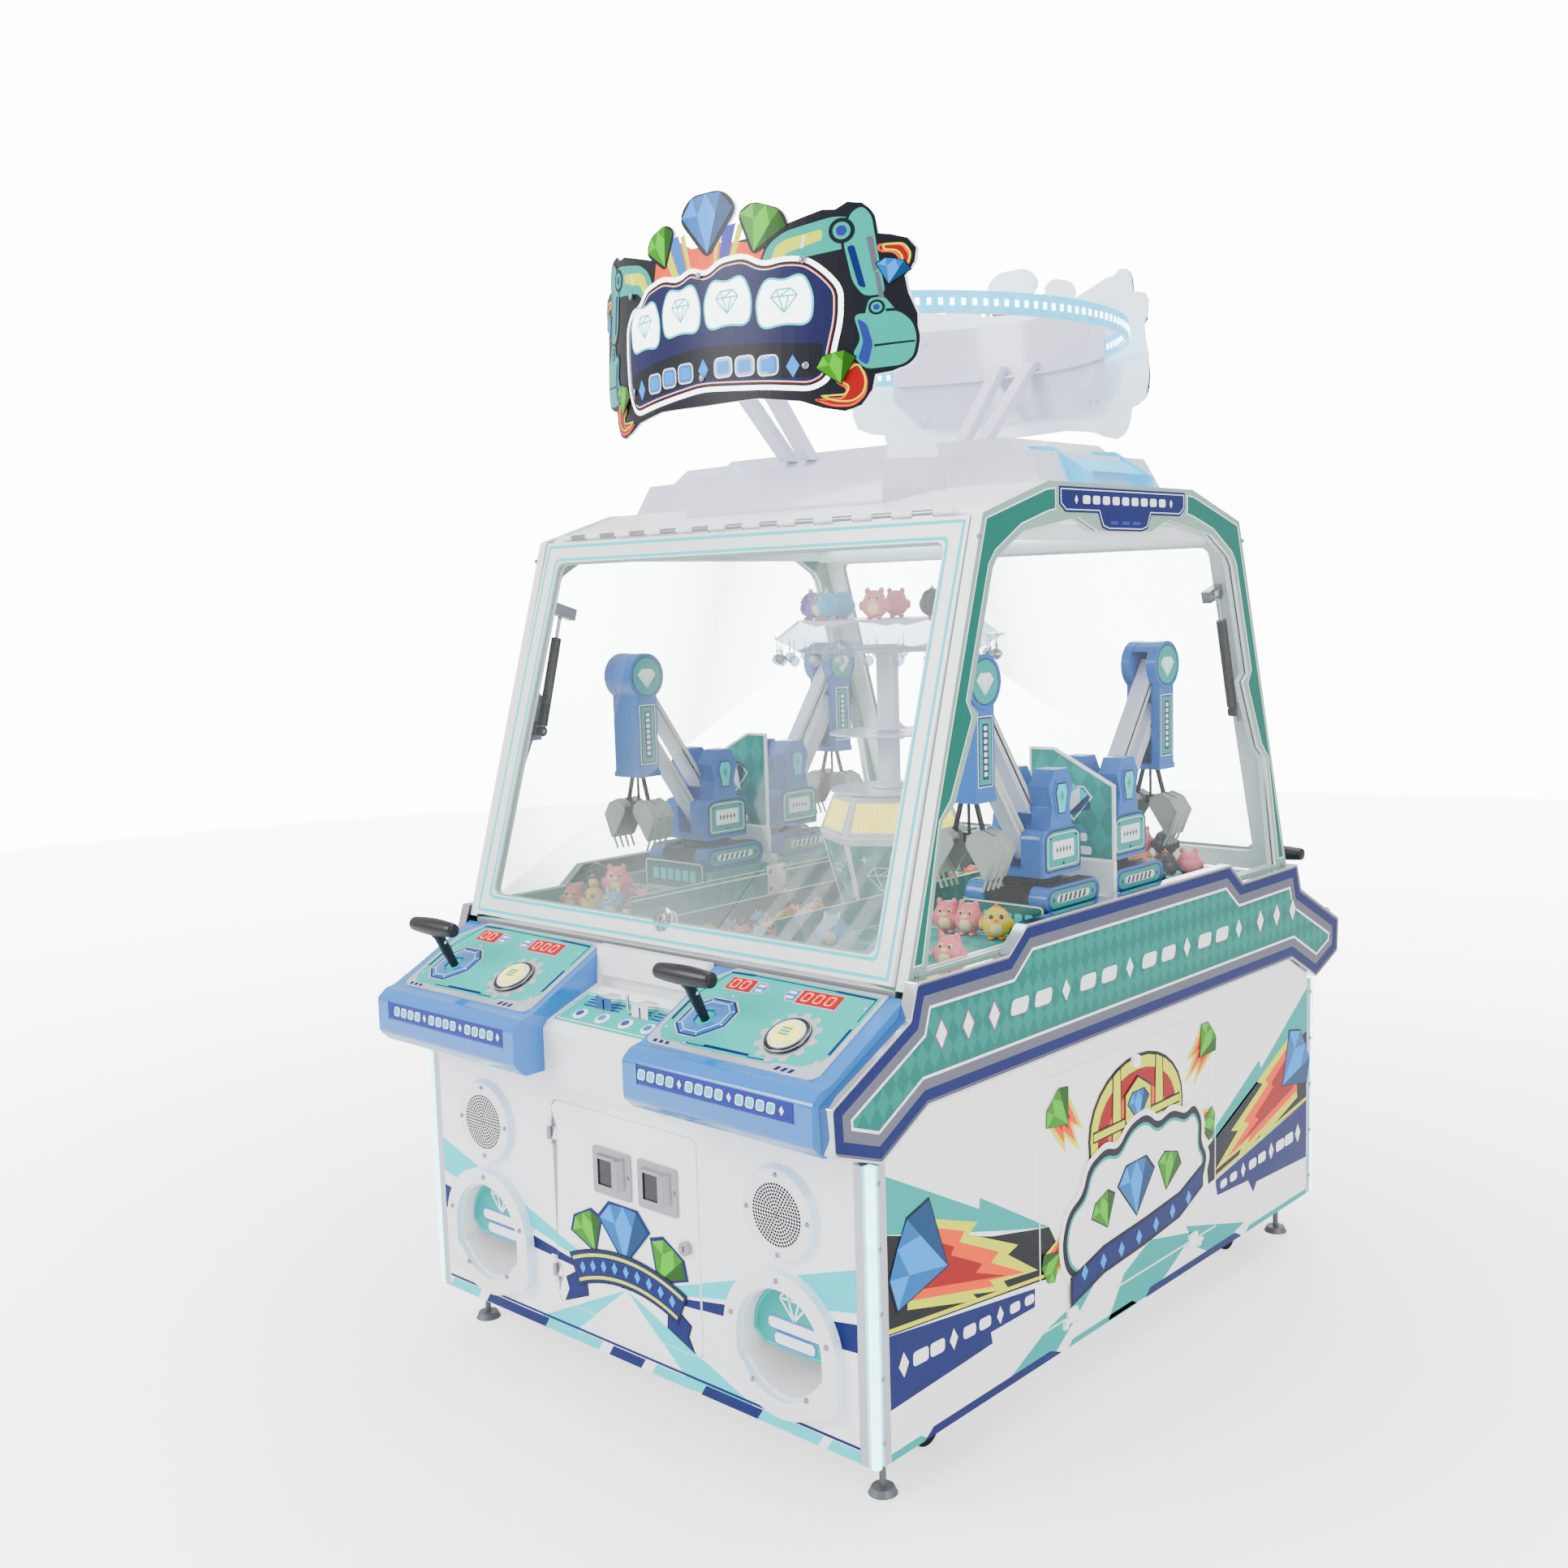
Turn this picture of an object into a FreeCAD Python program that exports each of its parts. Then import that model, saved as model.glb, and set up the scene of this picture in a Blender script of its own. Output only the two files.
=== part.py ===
"""Four-player miniature digger prize machine.

Frame: origin on the floor under the middle of the cabinet, +X to the right of a player who
stands at the front, +Y away from that player, +Z up. All lengths are in millimetres.
The two ends of the machine are alike: the rear end is the front end turned half a turn
about Z.
"""
import FreeCAD
import Part
import os
from math import cos, pi, radians, sin, sqrt

V = FreeCAD.Vector
Z_AXIS = V(0, 0, 1)

# ---------------------------------------------------------------- driving dimensions
BODY_X = 600.0            # half width over the side panels
BODY_Y = 805.0            # half length over the end panels
BODY_Z0 = 90.0            # underside of the cabinet
PANEL = 15.0              # cabinet board thickness
POST = 36.0               # corner post side
POST_TOP = 600.0
DECK_Z = 860.0            # top of the play field deck
DECK_T = 12.0
CONSOLE_SLOPE = 27.8      # degrees, player control plates
DOOR_TILT = 17.3          # degrees off vertical, glass doors
DOOR_LENGTH = 806.0       # along the slope
DOOR_HALF_X = 562.0
DOOR_FOOT = V(0, -697.0, 870.0)
HINGE_RISE = 9.0          # glass door hinge axis above the door's top edge
ROOF_TOP = 1702.0
ROOF_EDGE = (440.0, 1645.0)   # y, z of the folded roof sheet's edge and fold
ROOF_FOLD = (258.0, 1701.0)
BANNER_X0 = 588.0
BANNER_X1 = 610.0
PIN_CLEARANCE = 0.05      # radial running clearance of every pin

# excavator, in its own frame: origin on the slewing axis at the floor, forward is -Y
DIGGER_X = 451.0
DIGGER_Y = -122.0
SLEW_GAP_Z = 968.0        # top of the slewing ring
CAB_Z0 = 970.0
CAB_Z1 = 1060.0
BOOM_FOOT = V(0, -25.0, 1098.0)
BOOM_HEAD = V(0, -203.0, 1348.0)
LINK_DROP = 92.0          # the link bar's pivots lie this far under the boom's
JAW_PIVOT_X = 34.0
JAW_PIVOT_Z = 1064.0

SIGN_RADIUS = 720.0
SIGN_CENTRE_Y = 195.0     # of the front sign's cylinder
HOOP_RADIUS = 510.0
HOOP_Z = (2010.0, 2050.0)


# ---------------------------------------------------------------- small helpers
def box(x0, x1, y0, y1, z0, z1):
    return Part.makeBox(x1 - x0, y1 - y0, z1 - z0, V(x0, y0, z0))


def both_sides_box(x0, x1, y0, y1, z0, z1):
    return [box(x0, x1, y0, y1, z0, z1), box(-x1, -x0, y0, y1, z0, z1)]


def rod(start, end, radius):
    return Part.makeCylinder(radius, (end - start).Length, start, end - start)


def outline_face(points):
    return Part.Face(Part.makePolygon(points + [points[0]]))


def prism_x(yz, x0, x1):
    return outline_face([V(x0, y, z) for y, z in yz]).extrude(V(x1 - x0, 0, 0))


def prism_y(xz, y0, y1):
    return outline_face([V(x, y0, z) for x, z in xz]).extrude(V(0, y1 - y0, 0))


def prism_z(xy, z0, z1):
    return outline_face([V(x, y, z0) for x, y in xy]).extrude(V(0, 0, z1 - z0))


def mirrored(points):
    """Close an outline given for positive first coordinates by its mirror image."""
    return points + [(-a, b) for a, b in reversed(points) if a != 0]


def round_edges(shape, direction, radius, keep=None):
    """Fillet the straight edges that run along direction."""
    chosen = []
    for edge in shape.Edges:
        if edge.Curve.TypeId != "Part::GeomLine":
            continue
        if abs(edge.tangentAt(edge.FirstParameter).dot(direction)) < 0.999:
            continue
        if keep is None or keep(edge.CenterOfMass):
            chosen.append(edge)
    return shape.makeFillet(radius, chosen)


def fuse(shapes):
    result = shapes[0]
    for shape in shapes[1:]:
        result = result.fuse(shape)
    return result.removeSplitter()


def cut(shape, tools):
    for tool in tools:
        shape = shape.cut(tool)
    return shape


def turned(shape):
    """The same thing at the rear end: half a turn about Z."""
    copy = shape.copy()
    copy.rotate(V(0, 0, 0), Z_AXIS, 180)
    return copy


def moved(shape, x, y, z=0.0):
    copy = shape.copy()
    copy.translate(V(x, y, z))
    return copy


def both_ends(shapes):
    return shapes + [turned(shape) for shape in shapes]


def four_corners(shapes):
    """Copy a front-right set of solids to all four corners by mirroring."""
    out = []
    for shape in shapes:
        across = shape.mirror(V(0, 0, 0), V(1, 0, 0))
        out += [shape, across, turned(shape), turned(across)]
    return out


def write(node, shapes):
    if not isinstance(shapes, list):
        shapes = [shapes]
    solids = [solid for shape in shapes for solid in shape.Solids]
    result = solids[0] if len(solids) == 1 else Part.makeCompound(solids)
    result.exportStep("parts/" + node + ".step")


# ---------------------------------------------------------------- outlines that several parts share
BANNER_HALF = [(374, 922), (431, 877), (688, 879), (707, 821), (905, 723), (901, 650),
               (790, 610), (667, 675)]


def banner_solid(x0, x1, grow=0.0):
    shape = prism_x(mirrored(BANNER_HALF), x0, x1)
    shape = round_edges(shape, V(1, 0, 0), 12)
    if grow:
        wire = outline_face([V(x0, y, z) for y, z in mirrored(BANNER_HALF)])
        wire = wire.makeOffset2D(grow)
        shape = wire.extrude(V(x1 - x0, 0, 0))
    return shape


def arch(half_width, z0, z_spring, y0, y1, corner):
    """An arched opening: straight sides up to z_spring, then a half circle."""
    base = box(-half_width, half_width, y0, y1, z0, z_spring + 1)
    base = round_edges(base, V(0, 1, 0), corner, lambda p: p.z < z0 + 1)
    head = rod(V(0, y0, z_spring), V(0, y1, z_spring), half_width)
    return base.fuse(head).removeSplitter()


OUTLET_X = 403.0
SPEAKER_Z = 481.0
SPEAKER_RADIUS = 79.0
COIN_DOOR_HALF = 199.0
COIN_DOOR_Z = (160.0, 564.0)
COIN_HINGE = V(-203.0, -811.0, 0)
HATCH_HALF = 330.0
HATCH_Z = (150.0, 625.0)
HATCH_HINGE = V(606.0, 0, 146.0)
COIN_KNUCKLES = ((200.0, 250.0), (474.0, 524.0))
HATCH_KNUCKLES = ((-260.0, -200.0), (200.0, 260.0))


# ---------------------------------------------------------------- cabinet
def corner_post():
    """Front right aluminium post with its groove, and the light tube that stands in it."""
    x, y = BODY_X, -BODY_Y
    tube_centre = V(x - 7, y + 7, BODY_Z0)
    post = box(x - POST, x, y, y + POST, BODY_Z0, POST_TOP)
    post = post.cut(box(x - 18, x + 1, y - 1, y + 18, BODY_Z0 - 1, POST_TOP + 1))
    tube = rod(tube_centre, tube_centre + V(0, 0, POST_TOP - BODY_Z0), 8.5)
    return [post, tube]


FOOT_AT = V(545.0, -727.0, 0)
CASTER_X = 500.0
CASTER_Y = 560.0
WHEEL_RADIUS = 35.0
WHEEL_HALF = 13.0
AXLE_RADIUS = 5.0


def levelling_foot():
    pad = Part.makeCone(26, 20, 12, V(FOOT_AT.x, FOOT_AT.y, 0))
    stem = rod(V(FOOT_AT.x, FOOT_AT.y, 11), V(FOOT_AT.x, FOOT_AT.y, BODY_Z0 + 2), 6)
    nut = Part.makeCylinder(11, 9, V(FOOT_AT.x, FOOT_AT.y, BODY_Z0 - 9))
    return fuse([pad, stem, nut])


def caster_fork():
    """Mounting plate, two cheeks and the axle pin between them."""
    x, y = CASTER_X, -CASTER_Y
    top = box(x - 32, x + 32, y - 32, y + 32, BODY_Z0 - 4, BODY_Z0 + 2)
    crown = box(x - 22, x + 22, y - 22, y + 22, BODY_Z0 - 16, BODY_Z0 - 3)
    cheeks = [box(x + s - 2, x + s + 2, y - 17, y + 17, WHEEL_RADIUS - 12, BODY_Z0 - 15)
              for s in (-18.0, 18.0)]
    axle = rod(V(x - 22, y, WHEEL_RADIUS), V(x + 22, y, WHEEL_RADIUS), AXLE_RADIUS)
    return fuse([top, crown, axle] + cheeks)


def caster_wheel(x):
    centre = V(x - WHEEL_HALF, -CASTER_Y, WHEEL_RADIUS)
    wheel = Part.makeCylinder(WHEEL_RADIUS, 2 * WHEEL_HALF, centre, V(1, 0, 0))
    wheel = wheel.makeFillet(4, [e for e in wheel.Edges if e.Curve.TypeId == "Part::GeomCircle"])
    bore = Part.makeCylinder(AXLE_RADIUS + PIN_CLEARANCE, 2 * WHEEL_HALF + 2,
                             centre - V(1, 0, 0), V(1, 0, 0))
    return wheel.cut(bore)


def frame_tubes(inset):
    """Every tube of the welded frame; inset gives the hollow inside the same tubes."""
    tube, t = 40.0, inset
    x1, y1, y2 = BODY_X - PANEL - 4, BODY_Y - POST - 3, 640.0
    z0, z1, deck_z = BODY_Z0 + 2, 596.0, DECK_Z - DECK_T
    tubes = []
    for z in (z0, z1):
        tubes += both_sides_box(x1 - tube + t, x1 - t, -y1 + t, y1 - t, z + t, z + tube - t)
        for y in (-y1, y1 - tube):
            tubes.append(box(-x1 + t, x1 - t, y + t, y + tube - t, z + t, z + tube - t))
    tubes += four_corners([box(x1 - tube + t, x1 - t, -y1 + t, -y1 + tube - t, z0 + t, z1 + tube - t),
                           box(x1 - tube + t, x1 - t, -y2 + t, -y2 + tube - t, z1 + t, deck_z - t)])
    tubes += both_sides_box(x1 - tube + t, x1 - t, -y2 + t, y2 - t, deck_z - tube + t, deck_z - t)
    return fuse(tubes)


def base_frame():
    feet = four_corners([levelling_foot()])
    forks = four_corners([caster_fork()])
    frame = cut(frame_tubes(0.0), [frame_tubes(3.0)] + feet + forks)
    return [frame] + feet + forks + four_corners(corner_post())


def knuckle_set(axis_point, direction, spans, outer, inner, end):
    """A pin with its two end blocks for each hinge, fixed to the cabinet."""
    out = []
    for low, high in spans:
        start = axis_point + direction * low
        stop = axis_point + direction * high
        out.append(rod(start, stop, inner))
        out.append(rod(start, start + direction * end, outer))
        out.append(rod(stop - direction * end, stop, outer))
    return out


def moving_knuckle(axis_point, direction, span, outer, inner, end):
    low, high = span[0] + end + 0.2, span[1] - end - 0.2
    start = axis_point + direction * low
    stop = axis_point + direction * high
    return rod(start, stop, outer), rod(start - direction, stop + direction, inner + PIN_CLEARANCE)


def front_panel():
    y = -BODY_Y
    inner_x = BODY_X - POST - 0.5
    panel = box(-inner_x, inner_x, y, y + PANEL, BODY_Z0, 638)
    door_hole = box(-COIN_DOOR_HALF - 2, COIN_DOOR_HALF + 2, y - 1, y + PANEL + 1,
                    COIN_DOOR_Z[0] - 2, COIN_DOOR_Z[1] + 2)
    holes = [round_edges(door_hole, V(0, 1, 0), 17)]
    for side in (-1, 1):
        x = side * OUTLET_X
        holes.append(rod(V(x, y - 1, SPEAKER_Z), V(x, y + PANEL + 1, SPEAKER_Z), 66))
        holes.append(moved(arch(98.5, 198, 253.5, y - 1, y + PANEL + 1, 25), x, 0))
    panel = cut(panel, holes)
    pins = []
    for span in COIN_KNUCKLES:
        leaf = [box(COIN_HINGE.x - 14, COIN_HINGE.x - 1, y - 3, y, z, z + 12)
                for z in (span[0], span[1] - 12)]
        pins.append(fuse(knuckle_set(COIN_HINGE, Z_AXIS, [span], 5, 3, 12) + leaf))
    return [panel] + pins


def side_panel():
    top = 674.0
    outline = mirrored([(BODY_Y - POST - 0.5, BODY_Z0), (BODY_Y - POST - 0.5, top)])
    panel = prism_x(outline, BODY_X - PANEL, BODY_X)
    opening = box(BODY_X - PANEL - 1, BODY_X + 1, -HATCH_HALF - 2, HATCH_HALF + 2,
                  HATCH_Z[0] - 2, HATCH_Z[1] + 2)
    panel = panel.cut(round_edges(opening, V(1, 0, 0), 22))
    panel = panel.cut(banner_solid(BODY_X - PANEL - 1, BODY_X + 1, 4.5))
    pins = []
    for span in HATCH_KNUCKLES:
        leaf = [box(BODY_X, HATCH_HINGE.x, y, y + 14, HATCH_HINGE.z - 14, HATCH_HINGE.z - 2)
                for y in (span[0], span[1] - 14)]
        pins.append(fuse(knuckle_set(HATCH_HINGE, V(0, 1, 0), [span], 5, 3, 14) + leaf))
    return [panel] + pins


def cabinet_panels():
    floor = box(-540, 540, -725, 725, BODY_Z0 + 42.5, BODY_Z0 + 52)
    floor = cut(floor, four_corners([levelling_foot()]))
    return both_ends(front_panel()) + both_ends(side_panel()) + [floor]


def coin_door():
    """Front coin door: sheet, hinge knuckles, two ticket mouths and the lock."""
    y = -BODY_Y
    sheet = box(-COIN_DOOR_HALF, COIN_DOOR_HALF, y - 2, y + 4, *COIN_DOOR_Z)
    parts = [round_edges(sheet, V(0, 1, 0), 15)]
    bores = []
    for span in COIN_KNUCKLES:
        barrel, bore = moving_knuckle(COIN_HINGE, Z_AXIS, span, 5, 3, 12)
        z0, z1 = span[0] + 12.2, span[1] - 12.2
        parts += [barrel, box(COIN_HINGE.x, -COIN_DOOR_HALF + 14, y - 4.5, y - 1.5, z0, z1)]
        bores.append(bore)
    for x in (-25.0, 99.0):
        plate = box(x - 52, x + 52, y - 6, y - 2, 410, 500)
        plate = round_edges(plate, V(0, 1, 0), 6)
        frame = box(x - 38, x + 16, y - 12, y - 5, 424, 486)
        flap = prism_z([(x + 16, y - 5), (x + 16, y - 20), (x + 26, y - 17), (x + 34, y - 5)], 428, 486)
        parts += [plate, frame, flap]
        bores.append(box(x - 32, x + 12, y - 13, y - 3, 430, 480))
    parts.append(rod(V(169, y - 2, 360), V(169, y - 12, 360), 13))
    parts.append(rod(V(169, y + 3, 360), V(169, y + 34, 360), 9))
    return cut(fuse(parts), bores)


def side_hatch():
    """Right side service hatch, hung on its bottom edge, with lock."""
    sheet = box(BODY_X - 8, BODY_X, -HATCH_HALF, HATCH_HALF, *HATCH_Z)
    parts = [round_edges(sheet, V(1, 0, 0), 20)]
    bores = []
    for span in HATCH_KNUCKLES:
        barrel, bore = moving_knuckle(HATCH_HINGE, V(0, 1, 0), span, 5, 3, 14)
        leaf = box(BODY_X - 1, HATCH_HINGE.x, span[0] + 14.2, span[1] - 14.2,
                   HATCH_Z[0] + 1.5, HATCH_Z[0] + 16)
        neck = box(HATCH_HINGE.x - 3, HATCH_HINGE.x, span[0] + 14.2, span[1] - 14.2,
                   HATCH_HINGE.z, HATCH_Z[0] + 6)
        parts += [barrel, leaf, neck]
        bores.append(bore)
    parts.append(rod(V(BODY_X - 18, 0, 590), V(BODY_X - 7, 0, 590), 9))
    parts.append(rod(V(BODY_X - 1, 0, 590), V(BODY_X + 9, 0, 590), 13))
    return cut(fuse(parts), bores)


def side_banners():
    plate = banner_solid(BANNER_X0, BANNER_X1)
    window = banner_solid(BANNER_X0 - 1, BANNER_X1 + 3)
    trim = banner_solid(BANNER_X0, BANNER_X1 + 2, 4.0).cut(window)
    return both_ends([plate, trim])


def panel_fittings():
    """Loudspeaker grilles and prize outlets of one end, each with its screws."""
    y = -BODY_Y
    out = []
    for side in (-1, 1):
        x = side * OUTLET_X
        plinth = Part.makeCone(SPEAKER_RADIUS + 6, SPEAKER_RADIUS, 14, V(x, y, SPEAKER_Z), V(0, -1, 0))
        dish = rod(V(x, y + 1, SPEAKER_Z), V(x, y - 9, SPEAKER_Z), 60)
        out.append(plinth.cut(dish))
        bezel = arch(129.5, 153, 253.5, y - 20, y, 38)
        throat = arch(98.5, 198, 253.5, y - 21, y + 200, 25)
        lining = arch(98, 198.5, 253.5, y - 4, y + 190, 25)
        hollow = arch(93, 203.5, 253.5, y - 22, y + 184, 22)
        chute = lining.cut(hollow)
        bezel = bezel.cut(throat)
        bezel = bezel.fuse(arch(98.5, 198, 253.5, y - 6, y, 25).cut(hollow))
        out.append(moved(bezel.fuse(chute).removeSplitter(), x, 0))
        for angle in range(0, 360, 90):
            at = V(x + 70 * cos(radians(angle)), y - 14, SPEAKER_Z + 70 * sin(radians(angle)))
            out.append(Part.makeSphere(4.5, at, V(0, -1, 0), 0, 90, 360))
        for angle in (15, 90, 165):
            at = V(x + 114 * cos(radians(angle)), y - 20, 253.5 + 114 * sin(radians(angle)))
            out.append(Part.makeSphere(5, at, V(0, -1, 0), 0, 90, 360))
        for dx in (-62, 62):
            out.append(Part.makeSphere(5, V(x + dx, y - 20, 176), V(0, -1, 0), 0, 90, 360))
    return both_ends(out)


# ---------------------------------------------------------------- player consoles
PLATE_FRONT = V(0, -881.0, 752.0)     # front edge of a control plate
PLATE_DEPTH = 212.0
PLATE_T = 3.0
STICK_X, STICK_S = 243.0, 78.0        # joystick, along X and up the slope
BUTTON_X, BUTTON_S = 438.0, 77.0
GIMBAL_DEPTH = 30.0                   # joystick pivot under the plate
BUTTON_RADIUS = 28.0
CONSOLE_X = ((150.5, 587.5), (-587.5, -150.5))
LEFT_SHIFT = -721.0                   # the left console is the right one moved this far


def slope(shape):
    """Lay a shape built flat (X, up the slope, normal) on the console's slope."""
    copy = shape.copy()
    copy.rotate(V(0, 0, 0), V(1, 0, 0), CONSOLE_SLOPE)
    copy.translate(PLATE_FRONT)
    return copy


def console_profile(inset):
    a = radians(CONSOLE_SLOPE)
    up = V(0, -sin(a), cos(a)) * (-inset)
    rise = V(0, cos(a), sin(a))
    front = PLATE_FRONT + up
    rear = PLATE_FRONT + rise * PLATE_DEPTH + up
    return [(-BODY_Y + PANEL + 1, 640 + inset), (-903, 640 + inset), (-926 + inset, 664),
            (-926 + inset, 732), (-905 + inset, 748 - inset * 0.8), (front.y, front.z),
            (rear.y, rear.z), (-694.5, 640 + inset)]


def console_shell(x0, x1, label=True):
    shape = prism_x(console_profile(0), x0, x1)
    shape = round_edges(shape, V(1, 0, 0), 14, lambda p: p.y < -900)
    hollow = prism_x(console_profile(6), x0 + 5, x1 - 5)
    shape = shape.cut(hollow)
    shape = shape.cut(box(x0 + 5, x1 - 5, -784, -690, 645, 700))
    if label:
        panel = box(x0 + 35, x1 - 30, -930, -924, 693, 729)
        shape = shape.cut(panel)
    notch = BODY_X - PANEL - 0.2
    return cut(shape, both_sides_box(notch, notch + 5, -BODY_Y + POST, -690, 639, 675))


def console_holes():
    stick = moved(box(-36, 36, -26, 26, -40, 20), STICK_X, STICK_S)
    button = Part.makeCylinder(BUTTON_RADIUS + 3, 60, V(BUTTON_X, BUTTON_S, -40))
    return [slope(stick), slope(button)]


def coin_entry(x):
    """A chrome coin mouth that stands on the centre plate."""
    block = prism_z([(x - 22, -792), (x + 22, -792), (x + 16, -760), (x - 16, -760)], 745, 782)
    slot = box(x - 2, x + 2, -793, -775, 752, 778)
    return block.cut(slot)


def centre_console():
    x = 150.0
    profile = [(-805, 603), (-835, 603), (-856, 618), (-856, 722), (-844, 736), (-720, 782),
               (-716, 856), (-698, 856), (-698, 640), (-805, 640)]
    shape = prism_x(profile, -x, x)
    shape = round_edges(shape, V(1, 0, 0), 10, lambda p: p.y < -830)
    inner = [(-812, 646), (-812, 609), (-832, 609), (-850, 622), (-850, 720), (-840, 731),
             (-726, 774), (-722, 800), (-704, 800), (-704, 646)]
    shape = shape.cut(prism_x(inner, -x + 5, x - 5))
    pin = rod(V(0, -775, 750), V(0, -775, 792), 4)
    entries = [coin_entry(s * 50.0) for s in (-1, 1)]
    entries = [cut(entry, [shape]) for entry in entries]
    entries = [max(entry.Solids, key=lambda s: s.CenterOfMass.z) for entry in entries]
    pin = max(pin.cut(shape).Solids, key=lambda s: s.CenterOfMass.z)
    return [shape, pin] + entries


def console_shells():
    holes = console_holes()
    right = cut(console_shell(*CONSOLE_X[0]), holes)
    left = cut(console_shell(*CONSOLE_X[1]), [moved(hole, LEFT_SHIFT, 0) for hole in holes])
    return both_ends([right, left] + centre_console())


def control_plate():
    """Control plate of the right console with button housing, gimbal lugs and displays."""
    half_x = 198.5
    mid = 357.5
    plate = prism_z([(mid - half_x, 0), (mid + half_x, 0), (mid + half_x, PLATE_DEPTH),
                     (mid - half_x + 48, PLATE_DEPTH), (mid - half_x, PLATE_DEPTH - 48)], 0, PLATE_T)
    plate = round_edges(plate, Z_AXIS, 18, lambda p: p.y < 1)
    housing = Part.makeCylinder(42, 8, V(BUTTON_X, BUTTON_S, PLATE_T - 1))
    sleeve = Part.makeCylinder(BUTTON_RADIUS + 2.5, 30, V(BUTTON_X, BUTTON_S, -28))
    windows = [box(222, 279, 158, 188, PLATE_T - 1, PLATE_T + 1.5),
               box(390, 478, 156, 188, PLATE_T - 1, PLATE_T + 1.5)]
    lugs = [box(STICK_X + s - 3, STICK_X + s + 3, STICK_S - 10, STICK_S + 10, -GIMBAL_DEPTH - 8, 1)
            for s in (-28, 28)]
    shape = fuse([plate, housing, sleeve] + windows + lugs)
    shape = shape.cut(Part.makeCylinder(20, 10, V(STICK_X, STICK_S, -1)))
    shape = shape.cut(Part.makeCylinder(BUTTON_RADIUS + PIN_CLEARANCE, 60, V(BUTTON_X, BUTTON_S, -40)))
    bore = Part.makeCylinder(4 + PIN_CLEARANCE, 70, V(STICK_X - 35, STICK_S, -GIMBAL_DEPTH), V(1, 0, 0))
    return shape.cut(bore)


def joystick():
    shaft = Part.makeCone(9, 11, 128, V(0, 0, -GIMBAL_DEPTH))
    ball = Part.makeSphere(15, V(0, 0, -GIMBAL_DEPTH))
    axle = rod(V(-31, 0, -GIMBAL_DEPTH), V(31, 0, -GIMBAL_DEPTH), 4)
    bar = [Part.makeCone(13, 17, 50, V(-66, 0, 100), V(1, 0, 0)),
           rod(V(-16, 0, 100), V(16, 0, 100), 17),
           Part.makeCone(17, 13, 50, V(16, 0, 100), V(1, 0, 0))]
    grip = fuse(bar)
    ends = [e for e in grip.Edges if e.Curve.TypeId == "Part::GeomCircle" and abs(e.CenterOfMass.x) > 65]
    grip = grip.makeFillet(4, ends)
    return slope(moved(fuse([shaft, ball, axle, grip]), STICK_X, STICK_S))


def push_button():
    cap = Part.makeCylinder(BUTTON_RADIUS, 42, V(0, 0, -26))
    cap = cap.makeFillet(3, [e for e in cap.Edges if e.Curve.TypeId == "Part::GeomCircle"
                             and e.CenterOfMass.z > 15])
    return slope(moved(cap, BUTTON_X, BUTTON_S))


# ---------------------------------------------------------------- glazed house
def lean(shape):
    """Lay a shape built upright (X, inward, up the slope) into the front door's plane."""
    copy = shape.copy()
    copy.rotate(V(0, 0, 0), V(1, 0, 0), -DOOR_TILT)
    copy.translate(DOOR_FOOT)
    return copy


def slope_point(x, inward, up):
    a = radians(DOOR_TILT)
    return DOOR_FOOT + V(x, inward * cos(a) + up * sin(a), -inward * sin(a) + up * cos(a))


HINGE_AXIS = slope_point(0, 0, DOOR_LENGTH + HINGE_RISE)
KNUCKLE = 46.0
KNUCKLE_COUNT = 23
STRUT_X = 545.0
STRUT_FOOT = V(STRUT_X, -512.0, 1238.0)
STRUT_HEAD = V(STRUT_X, -445.0, 1490.0)


def hinge_strips():
    """X spans of the piano hinge's knuckles; even ones belong to the roof."""
    first = -KNUCKLE * KNUCKLE_COUNT / 2
    return [(first + i * KNUCKLE, first + (i + 1) * KNUCKLE) for i in range(KNUCKLE_COUNT)]


def glass_door():
    """Front glass door: frame with hinge knuckles, lock tab, strut studs, and the pane."""
    half = DOOR_HALF_X
    rim = 45.0
    frame = box(-half, half, 0, 20, 0, DOOR_LENGTH)
    opening = box(-half + rim, half - rim, -1, 21, rim, DOOR_LENGTH - rim)
    frame = frame.cut(round_edges(opening, V(0, 1, 0), 20))
    tab = rod(V(0, 0, rim), V(0, 20, rim), 24)
    lock = rod(V(0, -5, rim + 4), V(0, 34, rim + 4), 9)
    parts = [lean(frame), lean(tab), lean(lock)]
    bores = [rod(HINGE_AXIS - V(600, 0, 0), HINGE_AXIS + V(600, 0, 0), 2 + PIN_CLEARANCE)]
    for index, (x0, x1) in enumerate(hinge_strips()):
        if index % 2 == 1:
            barrel = rod(V(x0 + 0.3, HINGE_AXIS.y, HINGE_AXIS.z), V(x1 - 0.3, HINGE_AXIS.y, HINGE_AXIS.z), 5)
            leaf = lean(box(x0 + 0.3, x1 - 0.3, 0, 3, DOOR_LENGTH - 4, DOOR_LENGTH + HINGE_RISE - 2))
            parts += [barrel, leaf]
    for side in (-1, 1):
        foot = V(side * 526, STRUT_HEAD.y, STRUT_HEAD.z)
        parts.append(lean(box(side * 528 - 10, side * 528 + 10, 19, 78, 655, 680)))
        parts.append(rod(foot, V(side * 535, foot.y, foot.z), 5))
    frame = cut(fuse(parts), bores)
    pane = lean(box(-half + rim - 12, half - rim + 12, 8, 12, rim - 12, DOOR_LENGTH - rim + 12))
    return [frame.cut(pane), pane]


SIDE_OPENING_HALF = [(634, 888), (584, 1132), (548, 1158), (478, 1304), (500, 1322),
                     (430, 1549), (415, 1569), (337, 1613), (161, 1640), (95, 1616)]
SIDE_OUTLINE_HALF = [(690, 862), (457, 1642), (258, ROOF_TOP)]


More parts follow.
